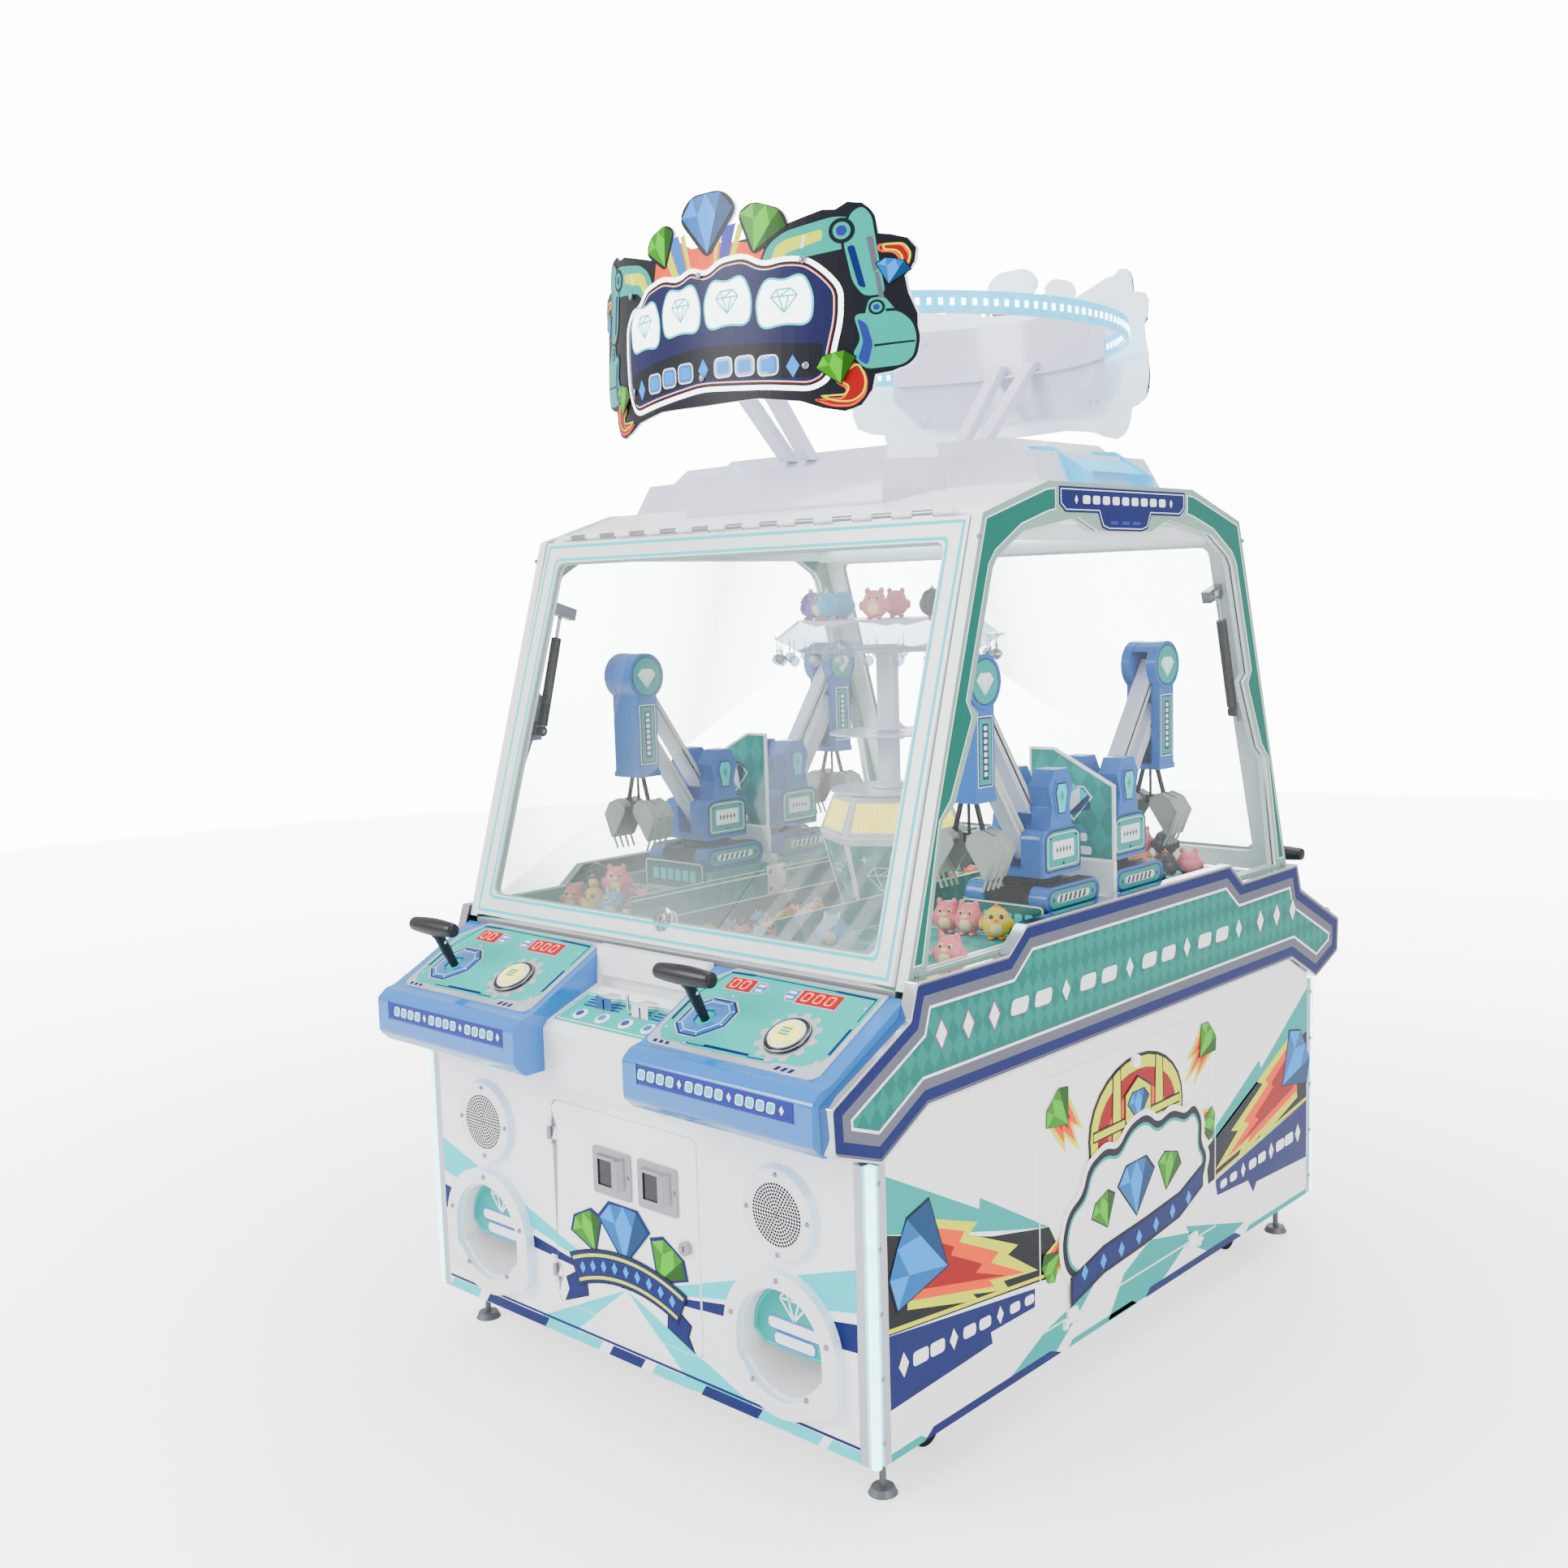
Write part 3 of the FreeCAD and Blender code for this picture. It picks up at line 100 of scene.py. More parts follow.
class Shader:
    """One material's node tree, with short helpers."""

    def __init__(self, name):
        material = bpy.data.materials.new(name)
        material.use_nodes = True
        self.tree = material.node_tree
        self.main = self.tree.nodes["Principled BSDF"]
        self.output = self.tree.nodes["Material Output"]
        self.position = self.node("ShaderNodeTexCoord").outputs["Object"]
        MATERIALS[name] = material

    def node(self, kind, **settings):
        made = self.tree.nodes.new(kind)
        for key, value in settings.items():
            setattr(made, key, value)
        return made

    def join(self, source, target):
        self.tree.links.new(source, target)

    def put(self, socket, value):
        if isinstance(value, bpy.types.NodeSocket):
            self.join(value, socket)
        else:
            socket.default_value = value

    def math(self, operation, a, b=0.0):
        made = self.node("ShaderNodeMath", operation=operation)
        self.put(made.inputs[0], a)
        self.put(made.inputs[1], b)
        return made.outputs[0]

    def noise(self, scale, detail=3.0):
        made = self.node("ShaderNodeTexNoise")
        made.inputs["Scale"].default_value = scale
        made.inputs["Detail"].default_value = detail
        self.join(self.position, made.inputs["Vector"])
        return made.outputs["Fac"]

    def blend(self, factor, a, b):
        made = self.node("ShaderNodeMix", data_type="RGBA")
        self.put(made.inputs[0], factor)
        self.put(made.inputs[6], a)
        self.put(made.inputs[7], b)
        return made.outputs[2]

    def axes(self):
        made = self.node("ShaderNodeSeparateXYZ")
        self.join(self.position, made.inputs[0])
        return made.outputs

    def colour(self, value):
        self.put(self.main.inputs["Base Color"], value)

    def surface(self, rough, metal=0.0, coat=0.0, grain=260.0, bump=0.02, shine=0.5):
        """Roughness that wanders a little, and a fine orange-peel bump."""
        fine = self.noise(grain, 2.0)
        broad = self.noise(7.0, 4.0)
        wander = self.math("ADD", self.math("MULTIPLY", fine, 0.2), self.math("MULTIPLY", broad, 0.35))
        self.put(self.main.inputs["Roughness"], self.math("MULTIPLY", self.math("ADD", wander, 0.72),
                                                          rough))
        self.main.inputs["Metallic"].default_value = metal
        self.main.inputs["Specular IOR Level"].default_value = shine
        self.main.inputs["Coat Weight"].default_value = coat
        self.main.inputs["Coat Roughness"].default_value = 0.06
        made = self.node("ShaderNodeBump")
        made.inputs["Strength"].default_value = bump
        made.inputs["Distance"].default_value = 0.0006
        self.join(fine, made.inputs["Height"])
        self.join(made.outputs[0], self.main.inputs["Normal"])

    def glow(self, colour, strength):
        self.put(self.main.inputs["Emission Color"], colour)
        self.put(self.main.inputs["Emission Strength"], strength)


def paint(name, colour, rough=0.3, metal=0.0, coat=0.0, vary=0.06, grain=260.0, bump=0.02, glow=0.0,
          shine=0.5):
    """Painted, printed or moulded finish. Its glow is light of its own; on the whites and the bezel edges,
    which are no lamps, that glow is painted light.
    """
    shader = Shader(name)
    tone = shader.blend(shader.noise(2.6, 4.0), shade(colour, 1 - vary), shade(colour, 1 + vary))
    shader.colour(tone)
    shader.surface(rough, metal, coat, grain, bump, shine)
    if glow:
        shader.glow(tone, glow)


def checker(name, first, second, across, along, width, height, rough=0.35):
    """A print of diamonds; across and along are the axes (0, 1, 2) of its plane."""
    shader = Shader(name)
    axis = shader.axes()
    u = shader.math("DIVIDE", axis[across], width * MM)
    v = shader.math("DIVIDE", axis[along], height * MM)
    stripes = shader.math("FLOOR", shader.math("ADD", u, v))
    slants = shader.math("FLOOR", shader.math("SUBTRACT", u, v))
    odd = shader.math("PINGPONG", shader.math("ADD", stripes, slants), 1.0)
    tone = shader.blend(odd, first, second)
    shader.colour(shader.blend(shader.math("MULTIPLY", shader.noise(3.0), 0.25), tone, shade(first, 0.9)))
    shader.surface(rough, shine=PRINT_SHINE)


def clear(name, tint, shine=0.035, mist=0.0):
    """Thin clear sheet: light passes straight, with a mirror sheen that grows at grazing angles."""
    shader = Shader(name)
    through = shader.node("ShaderNodeBsdfTransparent")
    through.inputs[0].default_value = tint
    mirror = shader.node("ShaderNodeBsdfGlossy")
    mirror.inputs["Roughness"].default_value = 0.03
    haze = shader.node("ShaderNodeBsdfDiffuse")
    haze.inputs[0].default_value = (0.9, 0.95, 0.97, 1)
    smear = shader.math("MULTIPLY", shader.noise(6.0, 5.0), mist)
    veil = shader.node("ShaderNodeMixShader")
    shader.put(veil.inputs[0], smear)
    shader.join(through.outputs[0], veil.inputs[1])
    shader.join(haze.outputs[0], veil.inputs[2])
    facing = shader.node("ShaderNodeLayerWeight")
    facing.inputs["Blend"].default_value = 0.5
    edge = shader.math("POWER", facing.outputs["Facing"], 4.0)
    amount = shader.math("ADD", shader.math("MULTIPLY", edge, 0.5), shine)
    mixed = shader.node("ShaderNodeMixShader")
    shader.put(mixed.inputs[0], amount)
    shader.join(veil.outputs[0], mixed.inputs[1])
    shader.join(mirror.outputs[0], mixed.inputs[2])
    shader.join(mixed.outputs[0], shader.output.inputs["Surface"])


def lamp(name, colour, strength, body=(1, 1, 1, 1)):
    """Lit diffuser: brighter and dimmer a little along its length."""
    shader = Shader(name)
    shader.colour(body)
    shader.surface(0.3)
    level = shader.math("MULTIPLY", shader.math("ADD", shader.noise(30.0), 0.6), strength)
    shader.glow(colour, level)


def glitter(name, colour):
    """Crackled plastic that sparkles, with a glow in its crackle's tones though it is no lamp: painted
    light.
    """
    shader = Shader(name)
    cells = shader.node("ShaderNodeTexVoronoi")
    cells.inputs["Scale"].default_value = 170.0
    shader.join(shader.position, cells.inputs["Vector"])
    tone = shader.blend(cells.outputs["Distance"], shade(colour, 1.25), shade(colour, 0.8))
    shader.colour(tone)
    shader.surface(0.18, coat=0.6)
    made = shader.node("ShaderNodeBump")
    made.inputs["Strength"].default_value = 0.7
    made.inputs["Distance"].default_value = 0.002
    shader.join(cells.outputs["Distance"], made.inputs["Height"])
    shader.join(made.outputs[0], shader.main.inputs["Normal"])
    # Painted light: the crackled plastic glows in its own cell tones, though it is no lamp.
    shader.glow(tone, 0.35)


PRINTS = {"print_teal": (50, 208, 204), "plate_teal": (66, 218, 212), "line_turquoise": (96, 236, 238),
          "stripe_green": (40, 146, 130), "print_navy": (34, 44, 126), "label_navy": (72, 84, 180),
          "print_black": (22, 24, 32), "print_yellow": (236, 238, 92), "print_orange": (244, 150, 40),
          "print_red": (196, 48, 26), "print_violet": (92, 96, 204), "dark_violet": (36, 36, 92),
          "frame_green": (196, 216, 208)}
TOYS = {"pink": (246, 196, 204), "yellow": (240, 230, 110), "orange": (246, 186, 100),
        "purple": (196, 160, 222),
        "blue": (130, 214, 232), "black": (40, 42, 56), "cream": (250, 240, 220)}


def make_paints():
    white, lilac = (0.86, 0.86, 0.875, 1), (0.6, 0.61, 0.74, 1)
    # Painted light: the eight finishes below glow a little though they are no lamps, so they look brighter
    # than the lamps alone make them.
    paint("cabinet_white", white, 0.24, coat=0.4, glow=0.38, vary=0.02)
    paint("console_white", white, 0.2, coat=0.6, glow=0.22, vary=0.02)
    paint("frame_white", (0.8, 0.815, 0.83, 1), 0.28, coat=0.3, glow=0.12)
    paint("lavender_white", lilac, 0.22, coat=0.5, glow=0.05)
    paint("roof_white", white, 0.3, coat=0.3, glow=0.2)
    paint("moulded_white", white, 0.25, coat=0.5, glow=0.15)
    paint("bezel_edge", (0.6, 0.76, 0.9, 1), 0.22, coat=0.5, glow=0.3)
    paint("print_white", white, 0.3, coat=0.2, glow=0.25)
    paint("sign_back", (0.78, 0.9, 0.97, 1), 0.35, coat=0.2, glow=0.5)
    for name, values in PRINTS.items():
        paint(name, rgb(*values), 0.36, shine=PRINT_SHINE)
    for name, values in TOYS.items():
        paint("toy_" + name, rgb(*values), 0.35, coat=0.2, shine=0.3)
    paint("sign_teal", rgb(60, 204, 192), 0.3, shine=PRINT_SHINE, glow=0.15)
    paint("console_blue", rgb(34, 172, 226), 0.16, coat=0.8, vary=0.04, shine=0.3)
    paint("digger_blue", rgb(40, 158, 222), 0.26, coat=0.35, vary=0.04, shine=0.25)
    for tone, factor in (("light", 1.5), ("mid", 0.7), ("dark", 0.24)):
        paint("gem_blue_" + tone, shade(rgb(30, 178, 228), factor), 0.3, shine=PRINT_SHINE)
        paint("gem_green_" + tone, shade(rgb(100, 200, 50), factor), 0.3, shine=PRINT_SHINE)
    paint("slate_silver", rgb(142, 144, 160), 0.32, metal=0.4, vary=0.12)
    paint("chrome", (0.6, 0.62, 0.66, 1), 0.07, metal=1.0, vary=0.02, bump=0.004)
    paint("steel", (0.3, 0.31, 0.34, 1), 0.28, metal=1.0, grain=900.0)
    paint("aluminium", (0.5, 0.52, 0.57, 1), 0.34, metal=0.7, grain=700.0)
    paint("silver_border", (0.6, 0.62, 0.7, 1), 0.3, metal=0.6, grain=900.0)
    paint("frame_steel", rgb(150, 154, 160), 0.45, metal=0.4, grain=500.0)
    paint("box_grey", rgb(120, 124, 130), 0.45, grain=500.0)
    paint("pit_grey", rgb(172, 174, 178), 0.42, grain=420.0)
    paint("dark_metal", rgb(40, 42, 48), 0.4, metal=0.3, grain=500.0, shine=0.3)
    paint("strut_black", rgb(20, 21, 24), 0.3, shine=0.3)
    paint("handle_black", rgb(26, 27, 32), 0.36, grain=900.0, bump=0.05, shine=0.35)
    paint("gloss_black", rgb(14, 15, 18), 0.12, coat=0.4, shine=0.3)
    paint("rubber", rgb(30, 31, 33), 0.7, grain=420.0, bump=0.12, shine=0.2)
    paint("jaw_grey", rgb(212, 214, 208), 0.42, grain=520.0, bump=0.06)
    paint("display_red", (0.35, 0.002, 0.004, 1), 0.3, shine=0.1, glow=0.5)


def make_materials():
    make_paints()
    lamp("digit_red", (1.0, 0.2, 0.16, 1), 3.0, (0.2, 0, 0, 1))
    lamp("tube_cyan", (0.2, 0.92, 1.0, 1), 4.0)
    lamp("led_white", (0.6, 0.97, 1.0, 1), 9.0)
    lamp("led_band", (0.02, 0.62, 1.0, 1), 1.7, (0.02, 0.3, 0.5, 1))
    lamp("fin_cyan", (0.02, 0.55, 1.0, 1), 1.1, (0.02, 0.28, 0.5, 1))
    lamp("window_yellow", (1.0, 0.85, 0.02, 1), 1.8, (0.8, 0.6, 0.02, 1))
    lamp("cap_yellow", (1.0, 0.92, 0.3, 1), 0.8, rgb(246, 242, 150))
    lamp("sign_lit", (0.85, 0.98, 1.0, 1), 3.4)
    clear("door_glass", (0.97, 0.99, 0.99, 1), 0.02, 0.012)
    clear("side_glass", (0.97, 0.99, 0.985, 1), 0.015, 0.006)
    clear("shelf_clear", (0.86, 0.94, 0.97, 1), 0.06, 0.1)
    clear("crystal", (0.8, 0.88, 0.93, 1), 0.3, 0.1)
    glitter("canopy_glitter", (0.62, 0.7, 0.84, 1))
    checker("checker_side", rgb(44, 160, 148), rgb(62, 184, 170), 1, 2, 34, 52)
    checker("checker_deck", rgb(70, 200, 196), rgb(96, 218, 212), 0, 1, 60, 60)
    checker("checker_wall", rgb(56, 188, 180), rgb(84, 208, 200), 0, 2, 44, 66)
    checker("checker_rail", rgb(44, 168, 158), rgb(76, 196, 186), 1, 2, 40, 60)


# ---------------------------------------------------------------- CAD nodes: their finishes
def solid_of_each_face(mesh):
    """For each polygon, the lowest and highest corner (mm) of the connected solid it belongs to."""
    count = len(mesh.vertices)
    places = {}
    spot = [places.setdefault(tuple(round(value, 6) for value in v.co), len(places)) for v in mesh.vertices]
    parent = list(range(len(places)))

    def root(index):
        while parent[index] != index:
            parent[index] = parent[parent[index]]
            index = parent[index]
        return index

    for polygon in mesh.polygons:
        first = root(spot[polygon.vertices[0]])
        for other in polygon.vertices[1:]:
            parent[root(spot[other])] = first
    low, high = {}, {}
    for index in range(count):
        key, place = root(spot[index]), mesh.vertices[index].co / MM
        low[key] = Vector(map(min, low.get(key, place), place))
        high[key] = Vector(map(max, high.get(key, place), place))
    keys = [root(spot[polygon.vertices[0]]) for polygon in mesh.polygons]
    return [(low[key], high[key]) for key in keys]


def dress(node, rule, bevel=0.8, angle=38):
    """Finish a CAD node: rule(centre, normal, low, high) names each face's material."""
    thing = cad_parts[node]
    mesh = thing.data
    mesh.materials.clear()
    chosen = [rule(polygon.center / MM, polygon.normal, *box)
              for polygon, box in zip(mesh.polygons, solid_of_each_face(mesh))]
    names = sorted(set(chosen))
    for name in names:
        mesh.materials.append(MATERIALS[name])
    mesh.polygons.foreach_set("material_index", [names.index(name) for name in chosen])
    mesh.polygons.foreach_set("use_smooth", [True] * len(chosen))
    weld = thing.modifiers.new("weld", "WELD")
    weld.merge_threshold = 0.00001
    soften(thing, bevel, angle)


def soften(thing, width, angle=38):
    """Rounded edges and clean shading."""
    if width:
        made = thing.modifiers.new("bevel", "BEVEL")
        made.width = width * MM
        made.segments = 2
        made.limit_method = "ANGLE"
        made.angle_limit = radians(angle)
    made = thing.modifiers.new("normals", "WEIGHTED_NORMAL")
    made.keep_sharp = True


def always(name):
    return lambda centre, normal, low, high: name


# ---------------------------------------------------------------- outlines
def circle(u, v, radius, steps=24, start=0.0):
    return [(u + radius * cos(start + 2 * pi * i / steps), v + radius * sin(start + 2 * pi * i / steps))
            for i in range(steps)]


def rect(u0, v0, u1, v1):
    return [(u0, v0), (u1, v0), (u1, v1), (u0, v1)]


def area(points):
    return sum(a[0] * b[1] - b[0] * a[1] for a, b in zip(points, points[1:] + points[:1])) / 2


def inset(points, depth):
    """The outline moved inwards by depth (outwards when negative), corners kept sharp."""
    if area(points) < 0:
        points = points[::-1]
    out = []
    for before, here, after in zip(points[-1:] + points[:-1], points, points[1:] + points[:1]):
        a = Vector((here[0] - before[0], here[1] - before[1])).normalized()
        b = Vector((after[0] - here[0], after[1] - here[1])).normalized()
        normal = Vector((-a.y - b.y, a.x + b.x))
        scale = depth / max(0.35, 1 + a.dot(b))
        out.append((here[0] + normal.x * scale, here[1] + normal.y * scale))
    return out


def rounded(points, radius, steps=5):
    """The outline with each corner replaced by a smooth arc."""
    out = []
    for before, here, after in zip(points[-1:] + points[:-1], points, points[1:] + points[:1]):
        corner = Vector(here)
        back, ahead = Vector(before) - corner, Vector(after) - corner
        reach = min(radius, back.length * 0.45, ahead.length * 0.45)
        a, b = corner + back.normalized() * reach, corner + ahead.normalized() * reach
        for i in range(steps + 1):
            t = i / steps
            spot = a * (1 - t) ** 2 + corner * 2 * t * (1 - t) + b * t * t
            out.append((spot.x, spot.y))
    return out


def shifted(points, du, dv):
    return [(u + du, v + dv) for u, v in points]


def cut(points, a, b):
    """The part of an outline on the left of the line from a to b."""
    out = []
    across = [(b[0] - a[0]) * (p[1] - a[1]) - (b[1] - a[1]) * (p[0] - a[0]) for p in points]
    for here, there, s, t in zip(points, points[1:] + points[:1], across, across[1:] + across[:1]):
        if s >= 0:
            out.append(here)
        if (s >= 0) != (t >= 0):
            share = s / (s - t)
            out.append((here[0] + share * (there[0] - here[0]), here[1] + share * (there[1] - here[1])))
    return out


def within(points, window):
    """The part of an outline inside a convex window, listed anticlockwise."""
    for a, b in zip(window, window[1:] + window[:1]):
        points = cut(points, a, b)
    return points


def outside(points, window):
    """The parts of an outline outside a convex window, listed anticlockwise."""
    parts = []
    for a, b in zip(window, window[1:] + window[:1]):
        parts.append(cut(points, b, a))
        points = cut(points, a, b)
    return [part for part in parts if len(part) > 2]


def closed_outline(half):
    """Whole outline from its positive half, listed from the top middle round to the bottom middle."""
    return half + [(-u, v) for u, v in reversed(half)]


def arch(radius, foot, spring, steps=16, bevel=22):
    """Round-topped opening, bevelled at the foot, straight up to the spring line; listed anticlockwise."""
    top = [(radius * cos(pi * i / steps), spring + radius * sin(pi * i / steps)) for i in range(steps + 1)]
    low = [(-radius, foot + bevel), (-radius + bevel, foot), (radius - bevel, foot), (radius, foot + bevel)]
    return top + low


# ---------------------------------------------------------------- solids as (points, faces)
def prism(outline, low, high):
    count = len(outline)
    points = [(u, v, low) for u, v in outline] + [(u, v, high) for u, v in outline]
    faces = [list(range(count))[::-1], list(range(count, 2 * count))]
    faces += [[i, (i + 1) % count, (i + 1) % count + count, i + count] for i in range(count)]
    return points, faces


def ring(outer, inner, low, high):
    """Band between two outlines that have the same number of points."""
    count = len(outer)
    points = [(u, v, n) for n in (low, high) for loop in (outer, inner) for u, v in loop]
    faces = []
    for i in range(count):
        j = (i + 1) % count
        faces.append([i, j, count + j, count + i])
        faces.append([2 * count + i, 3 * count + i, 3 * count + j, 2 * count + j])
        faces.append([i, 2 * count + i, 2 * count + j, j])
        faces.append([count + i, count + j, 3 * count + j, 3 * count + i])
    return points, faces


def lathe(profile, steps=32, centre=(0.0, 0.0)):
    """Solid of revolution about n; the (radius, n) points form a closed loop or end at radius 0."""
    points, faces, rows = [], [], []
    for radius, n in profile:
        if radius < 1e-6:
            rows.append([len(points)] * steps)
            points.append((centre[0], centre[1], n))
        else:
            rows.append(list(range(len(points), len(points) + steps)))
            points += [(u, v, n) for u, v in circle(centre[0], centre[1], radius, steps)]
    closed = profile[0][0] > 1e-6
    pairs = list(zip(rows, rows[1:] + ([rows[0]] if closed else [])))
    for a, b in pairs:
        for i in range(steps):
            j = (i + 1) % steps
            face = [a[i], a[j], b[j], b[i]]
            face = [p for k, p in enumerate(face) if p not in face[:k]]
            if len(face) > 2:
                faces.append(face)
    return points, faces


def ball(centre, radii, steps=12, rows=7):
    profile = [(sin(pi * i / rows), -cos(pi * i / rows)) for i in range(rows + 1)]
    profile = [(0 if i in (0, rows) else r, n) for i, (r, n) in enumerate(profile)]
    points, faces = lathe(profile, steps)
    return [tuple(centre[k] + radii[k] * p[k] for k in range(3)) for p in points], faces


def tube(path, radius, steps=10):
    """Round bar along a path of 3-D points."""
    points, faces = [], []
    spots = [Vector(p) for p in path]
    for i, spot in enumerate(spots):
        along = (spots[min(i + 1, len(spots) - 1)] - spots[max(i - 1, 0)]).normalized()
        side = along.orthogonal().normalized() if i == 0 else (side - along * side.dot(along)).normalized()
        other = along.cross(side)
        points += [tuple(spot + (side * cos(2 * pi * k / steps) + other * sin(2 * pi * k / steps)) * radius)
                   for k in range(steps)]
    for i in range(len(spots) - 1):
        for k in range(steps):
            j = (k + 1) % steps
            faces.append([i * steps + k, i * steps + j, (i + 1) * steps + j, (i + 1) * steps + k])
    faces.append(list(range(steps))[::-1])
    faces.append(list(range(len(points) - steps, len(points))))
    return points, faces


def moved_by(matrix, solid):
    points, faces = solid
    return [tuple(matrix @ Vector(p)) for p in points], faces


# ---------------------------------------------------------------- pieces
class Piece:
    """Solids in several finishes, gathered into one mesh. place(u, v, n) gives a point's x, y, z."""

    def __init__(self, name, place=None, slices=()):
        self.name = name
        self.place = place
        self.slices = slices
        self.points, self.faces, self.names, self.smooth = [], [], [], []

    def add(self, solid, finish, smooth=False):
        start = len(self.points)
        self.points += solid[0]
        self.faces += [[start + i for i in face] for face in solid[1]]
        self.names += [finish] * len(solid[1])
        self.smooth += [smooth] * len(solid[1])

    def film(self, outline, finish, level=0, base=0.0):
        """A printed area, as a thin closed film."""
        if len(outline) > 2:
            low = base + level * LAYER
            self.add(prism(outline, low, low + FILM), finish)

    def line(self, outline, width, finish, level=0, base=0.0):
        """A printed line of even width just inside an outline."""
        low = base + level * LAYER
        if area(outline) < 0:
            outline = outline[::-1]
        self.add(ring(outline, inset(outline, width), low, low + FILM), finish)

    def stroke(self, a, b, width, finish, level=0, base=0.0):
        """A straight printed stroke between two points."""
        along = Vector((b[0] - a[0], b[1] - a[1])).normalized() * width / 2
        across = Vector((-along.y, along.x))
        corners = [(a[0] - across.x, a[1] - across.y), (b[0] - across.x, b[1] - across.y),
                   (b[0] + across.x, b[1] + across.y), (a[0] + across.x, a[1] + across.y)]
        self.film(corners, finish, level, base)

    def build(self, body, slot=None, bevel=0.0, matrix=None):
        mesh = bpy.data.meshes.new(self.name)
        mesh.from_pydata([Vector(p) for p in self.points], [], self.faces)
        names = sorted(set(self.names))
        for name in names:
            mesh.materials.append(MATERIALS[name])
        mesh.polygons.foreach_set("material_index", [names.index(name) for name in self.names])
        mesh.polygons.foreach_set("use_smooth", self.smooth)
        shape = bmesh.new()
        shape.from_mesh(mesh)
        for value in self.slices:
            everything = shape.verts[:] + shape.edges[:] + shape.faces[:]
            bmesh.ops.bisect_plane(shape, geom=everything, plane_co=(value, 0, 0), plane_no=(1, 0, 0))
        for vertex in shape.verts:
            spot = self.place(*vertex.co) if self.place else vertex.co
            vertex.co = Vector(spot) * MM
        bmesh.ops.recalc_face_normals(shape, faces=shape.faces)
        shape.to_mesh(mesh)
        shape.free()
        thing = bpy.data.objects.new(self.name, mesh)
        bpy.context.scene.collection.objects.link(thing)
        if bevel:
            soften(thing, bevel)
        if matrix:
            thing.matrix_world = matrix
        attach(thing, body)
        return thing if slot else thing


def again(thing, name, body, matrix=HALF_TURN):
    """The same mesh once more, moved by a matrix, on another body."""
    copy = thing.copy()
    copy.name = name
    copy.parent = None
    copy.matrix_parent_inverse = Matrix.Identity(4)
    bpy.context.scene.collection.objects.link(copy)
    copy.matrix_world = matrix @ thing.matrix_world
    if "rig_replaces" in copy:
        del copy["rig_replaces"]
    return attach(copy, body)


def on_side(u, v, n):
    """Right side panel: u along Y, v up."""
    return SIDE_X + n, u, v


def on_banner(u, v, n):
    return BANNER_FACE + n, u, v


def on_front(u, v, n):
    """Front panel: u along X, v up."""
    return u, FRONT_Y - n, v


def on_slope(u, v, n):
    """Console plates: u along X, v up the slope."""
    y, z = PLATE_FOOT
    c, s = cos(PLATE_SLOPE), sin(PLATE_SLOPE)
    return u, y + v * c - n * s, z + v * s + n * c


def on_door(u, v, n):
    """Front glass door: u along X, v up the slope, n outwards from its outer face."""
    y, z = DOOR_FOOT
    c, s = cos(DOOR_TILT), sin(DOOR_TILT)
    return u, y + v * s - n * c, z + v * c + n * s


# ---------------------------------------------------------------- printed motifs
GEM_POINTS = {"A": (-0.55, 0.62), "T": (0.0, 0.66), "B": (0.55, 0.62), "D": (-1.0, 0.14), "E": (-0.36, 0.1),
              "F": (0.36, 0.1), "C": (1.0, 0.14), "P": (0.0, -0.98)}
GEM_FACETS = (("ATE", "mid"), ("TFE", "light"), ("TBF", "mid"), ("AED", "light"), ("BCF", "dark"),
              ("DEP", "mid"), ("EFP", "light"), ("FCP", "dark"))


def gem(piece, u, v, size, turn, colour, level=0, edge="print_black", rim=0.12, base=0.0):
    """A faceted brilliant seen from its side, turned by some degrees."""
    c, s = cos(radians(turn)) * size, sin(radians(turn)) * size

    def spot(key, scale=1.0):
        x, y = GEM_POINTS[key]
        x, y = x * scale, (y + 0.1) * scale - 0.1
        return u + x * c - y * s, v + x * s + y * c

    if edge:
        piece.film([spot(key, 1 + rim) for key in "ADPCB"], edge, level, base)
    for keys, tone in GEM_FACETS:
        piece.film([spot(key) for key in keys], f"gem_{colour}_{tone}", level + 1, base)


def gem_outline(u, v, size, turn):
    """Outline of a turned gem, with rounded corners."""
    c, s = cos(radians(turn)) * size, sin(radians(turn)) * size
    corners = [GEM_POINTS[key] for key in "BADPC"]
    return rounded([(u + x * c - y * s, v + x * s + y * c) for x, y in corners], size * 0.3)


def diamond(piece, u, v, half_u, half_v, finish, level=0, base=0.0):
    piece.film([(u, v - half_v), (u + half_u, v), (u, v + half_v), (u - half_u, v)], finish, level, base)


def gem_lines(piece, u, v, size, width, finish, level=0, base=0.0):
    """The outline drawing of a gem."""
    for pair in ("AB", "BC", "CP", "PD", "DA", "DC", "AE", "EB", "EP", "FP"):
        a, b = (GEM_POINTS[key] for key in pair)
        piece.stroke((u + a[0] * size, v + a[1] * size), (u + b[0] * size, v + b[1] * size),
                     width, finish, level, base)


def screw(piece, u, v, n, radius, finish="chrome"):
    """Domed screw head with a rim."""
    profile = [(0, n - 0.4), (radius, n - 0.4), (radius, n + 0.25 * radius),
               (radius * 0.75, n + 0.5 * radius),
               (radius * 0.35, n + 0.62 * radius), (0, n + 0.64 * radius)]
    piece.add(lathe(profile, 14, (u, v)), finish, True)


# ---------------------------------------------------------------- finishes of the CAD nodes
# A rule sees a face's centre and normal, and the lowest and highest corner of its solid.
POST = (560, 765)         # x and y beyond which tall solids of the base frame are corner posts
TUBE = (580, 786)         # and beyond which they are the light tubes
PIT_HALF = 204            # half width of the pit between its rails
PLINTH_TOP = 979          # top of the dividers' plain foot
FOOT_TOP = 984            # top of the tower foot's print
TREAD_TOP = 957           # top of the tracks' painted side
COVER_FOOT = 1127         # where a stick's painted cover starts


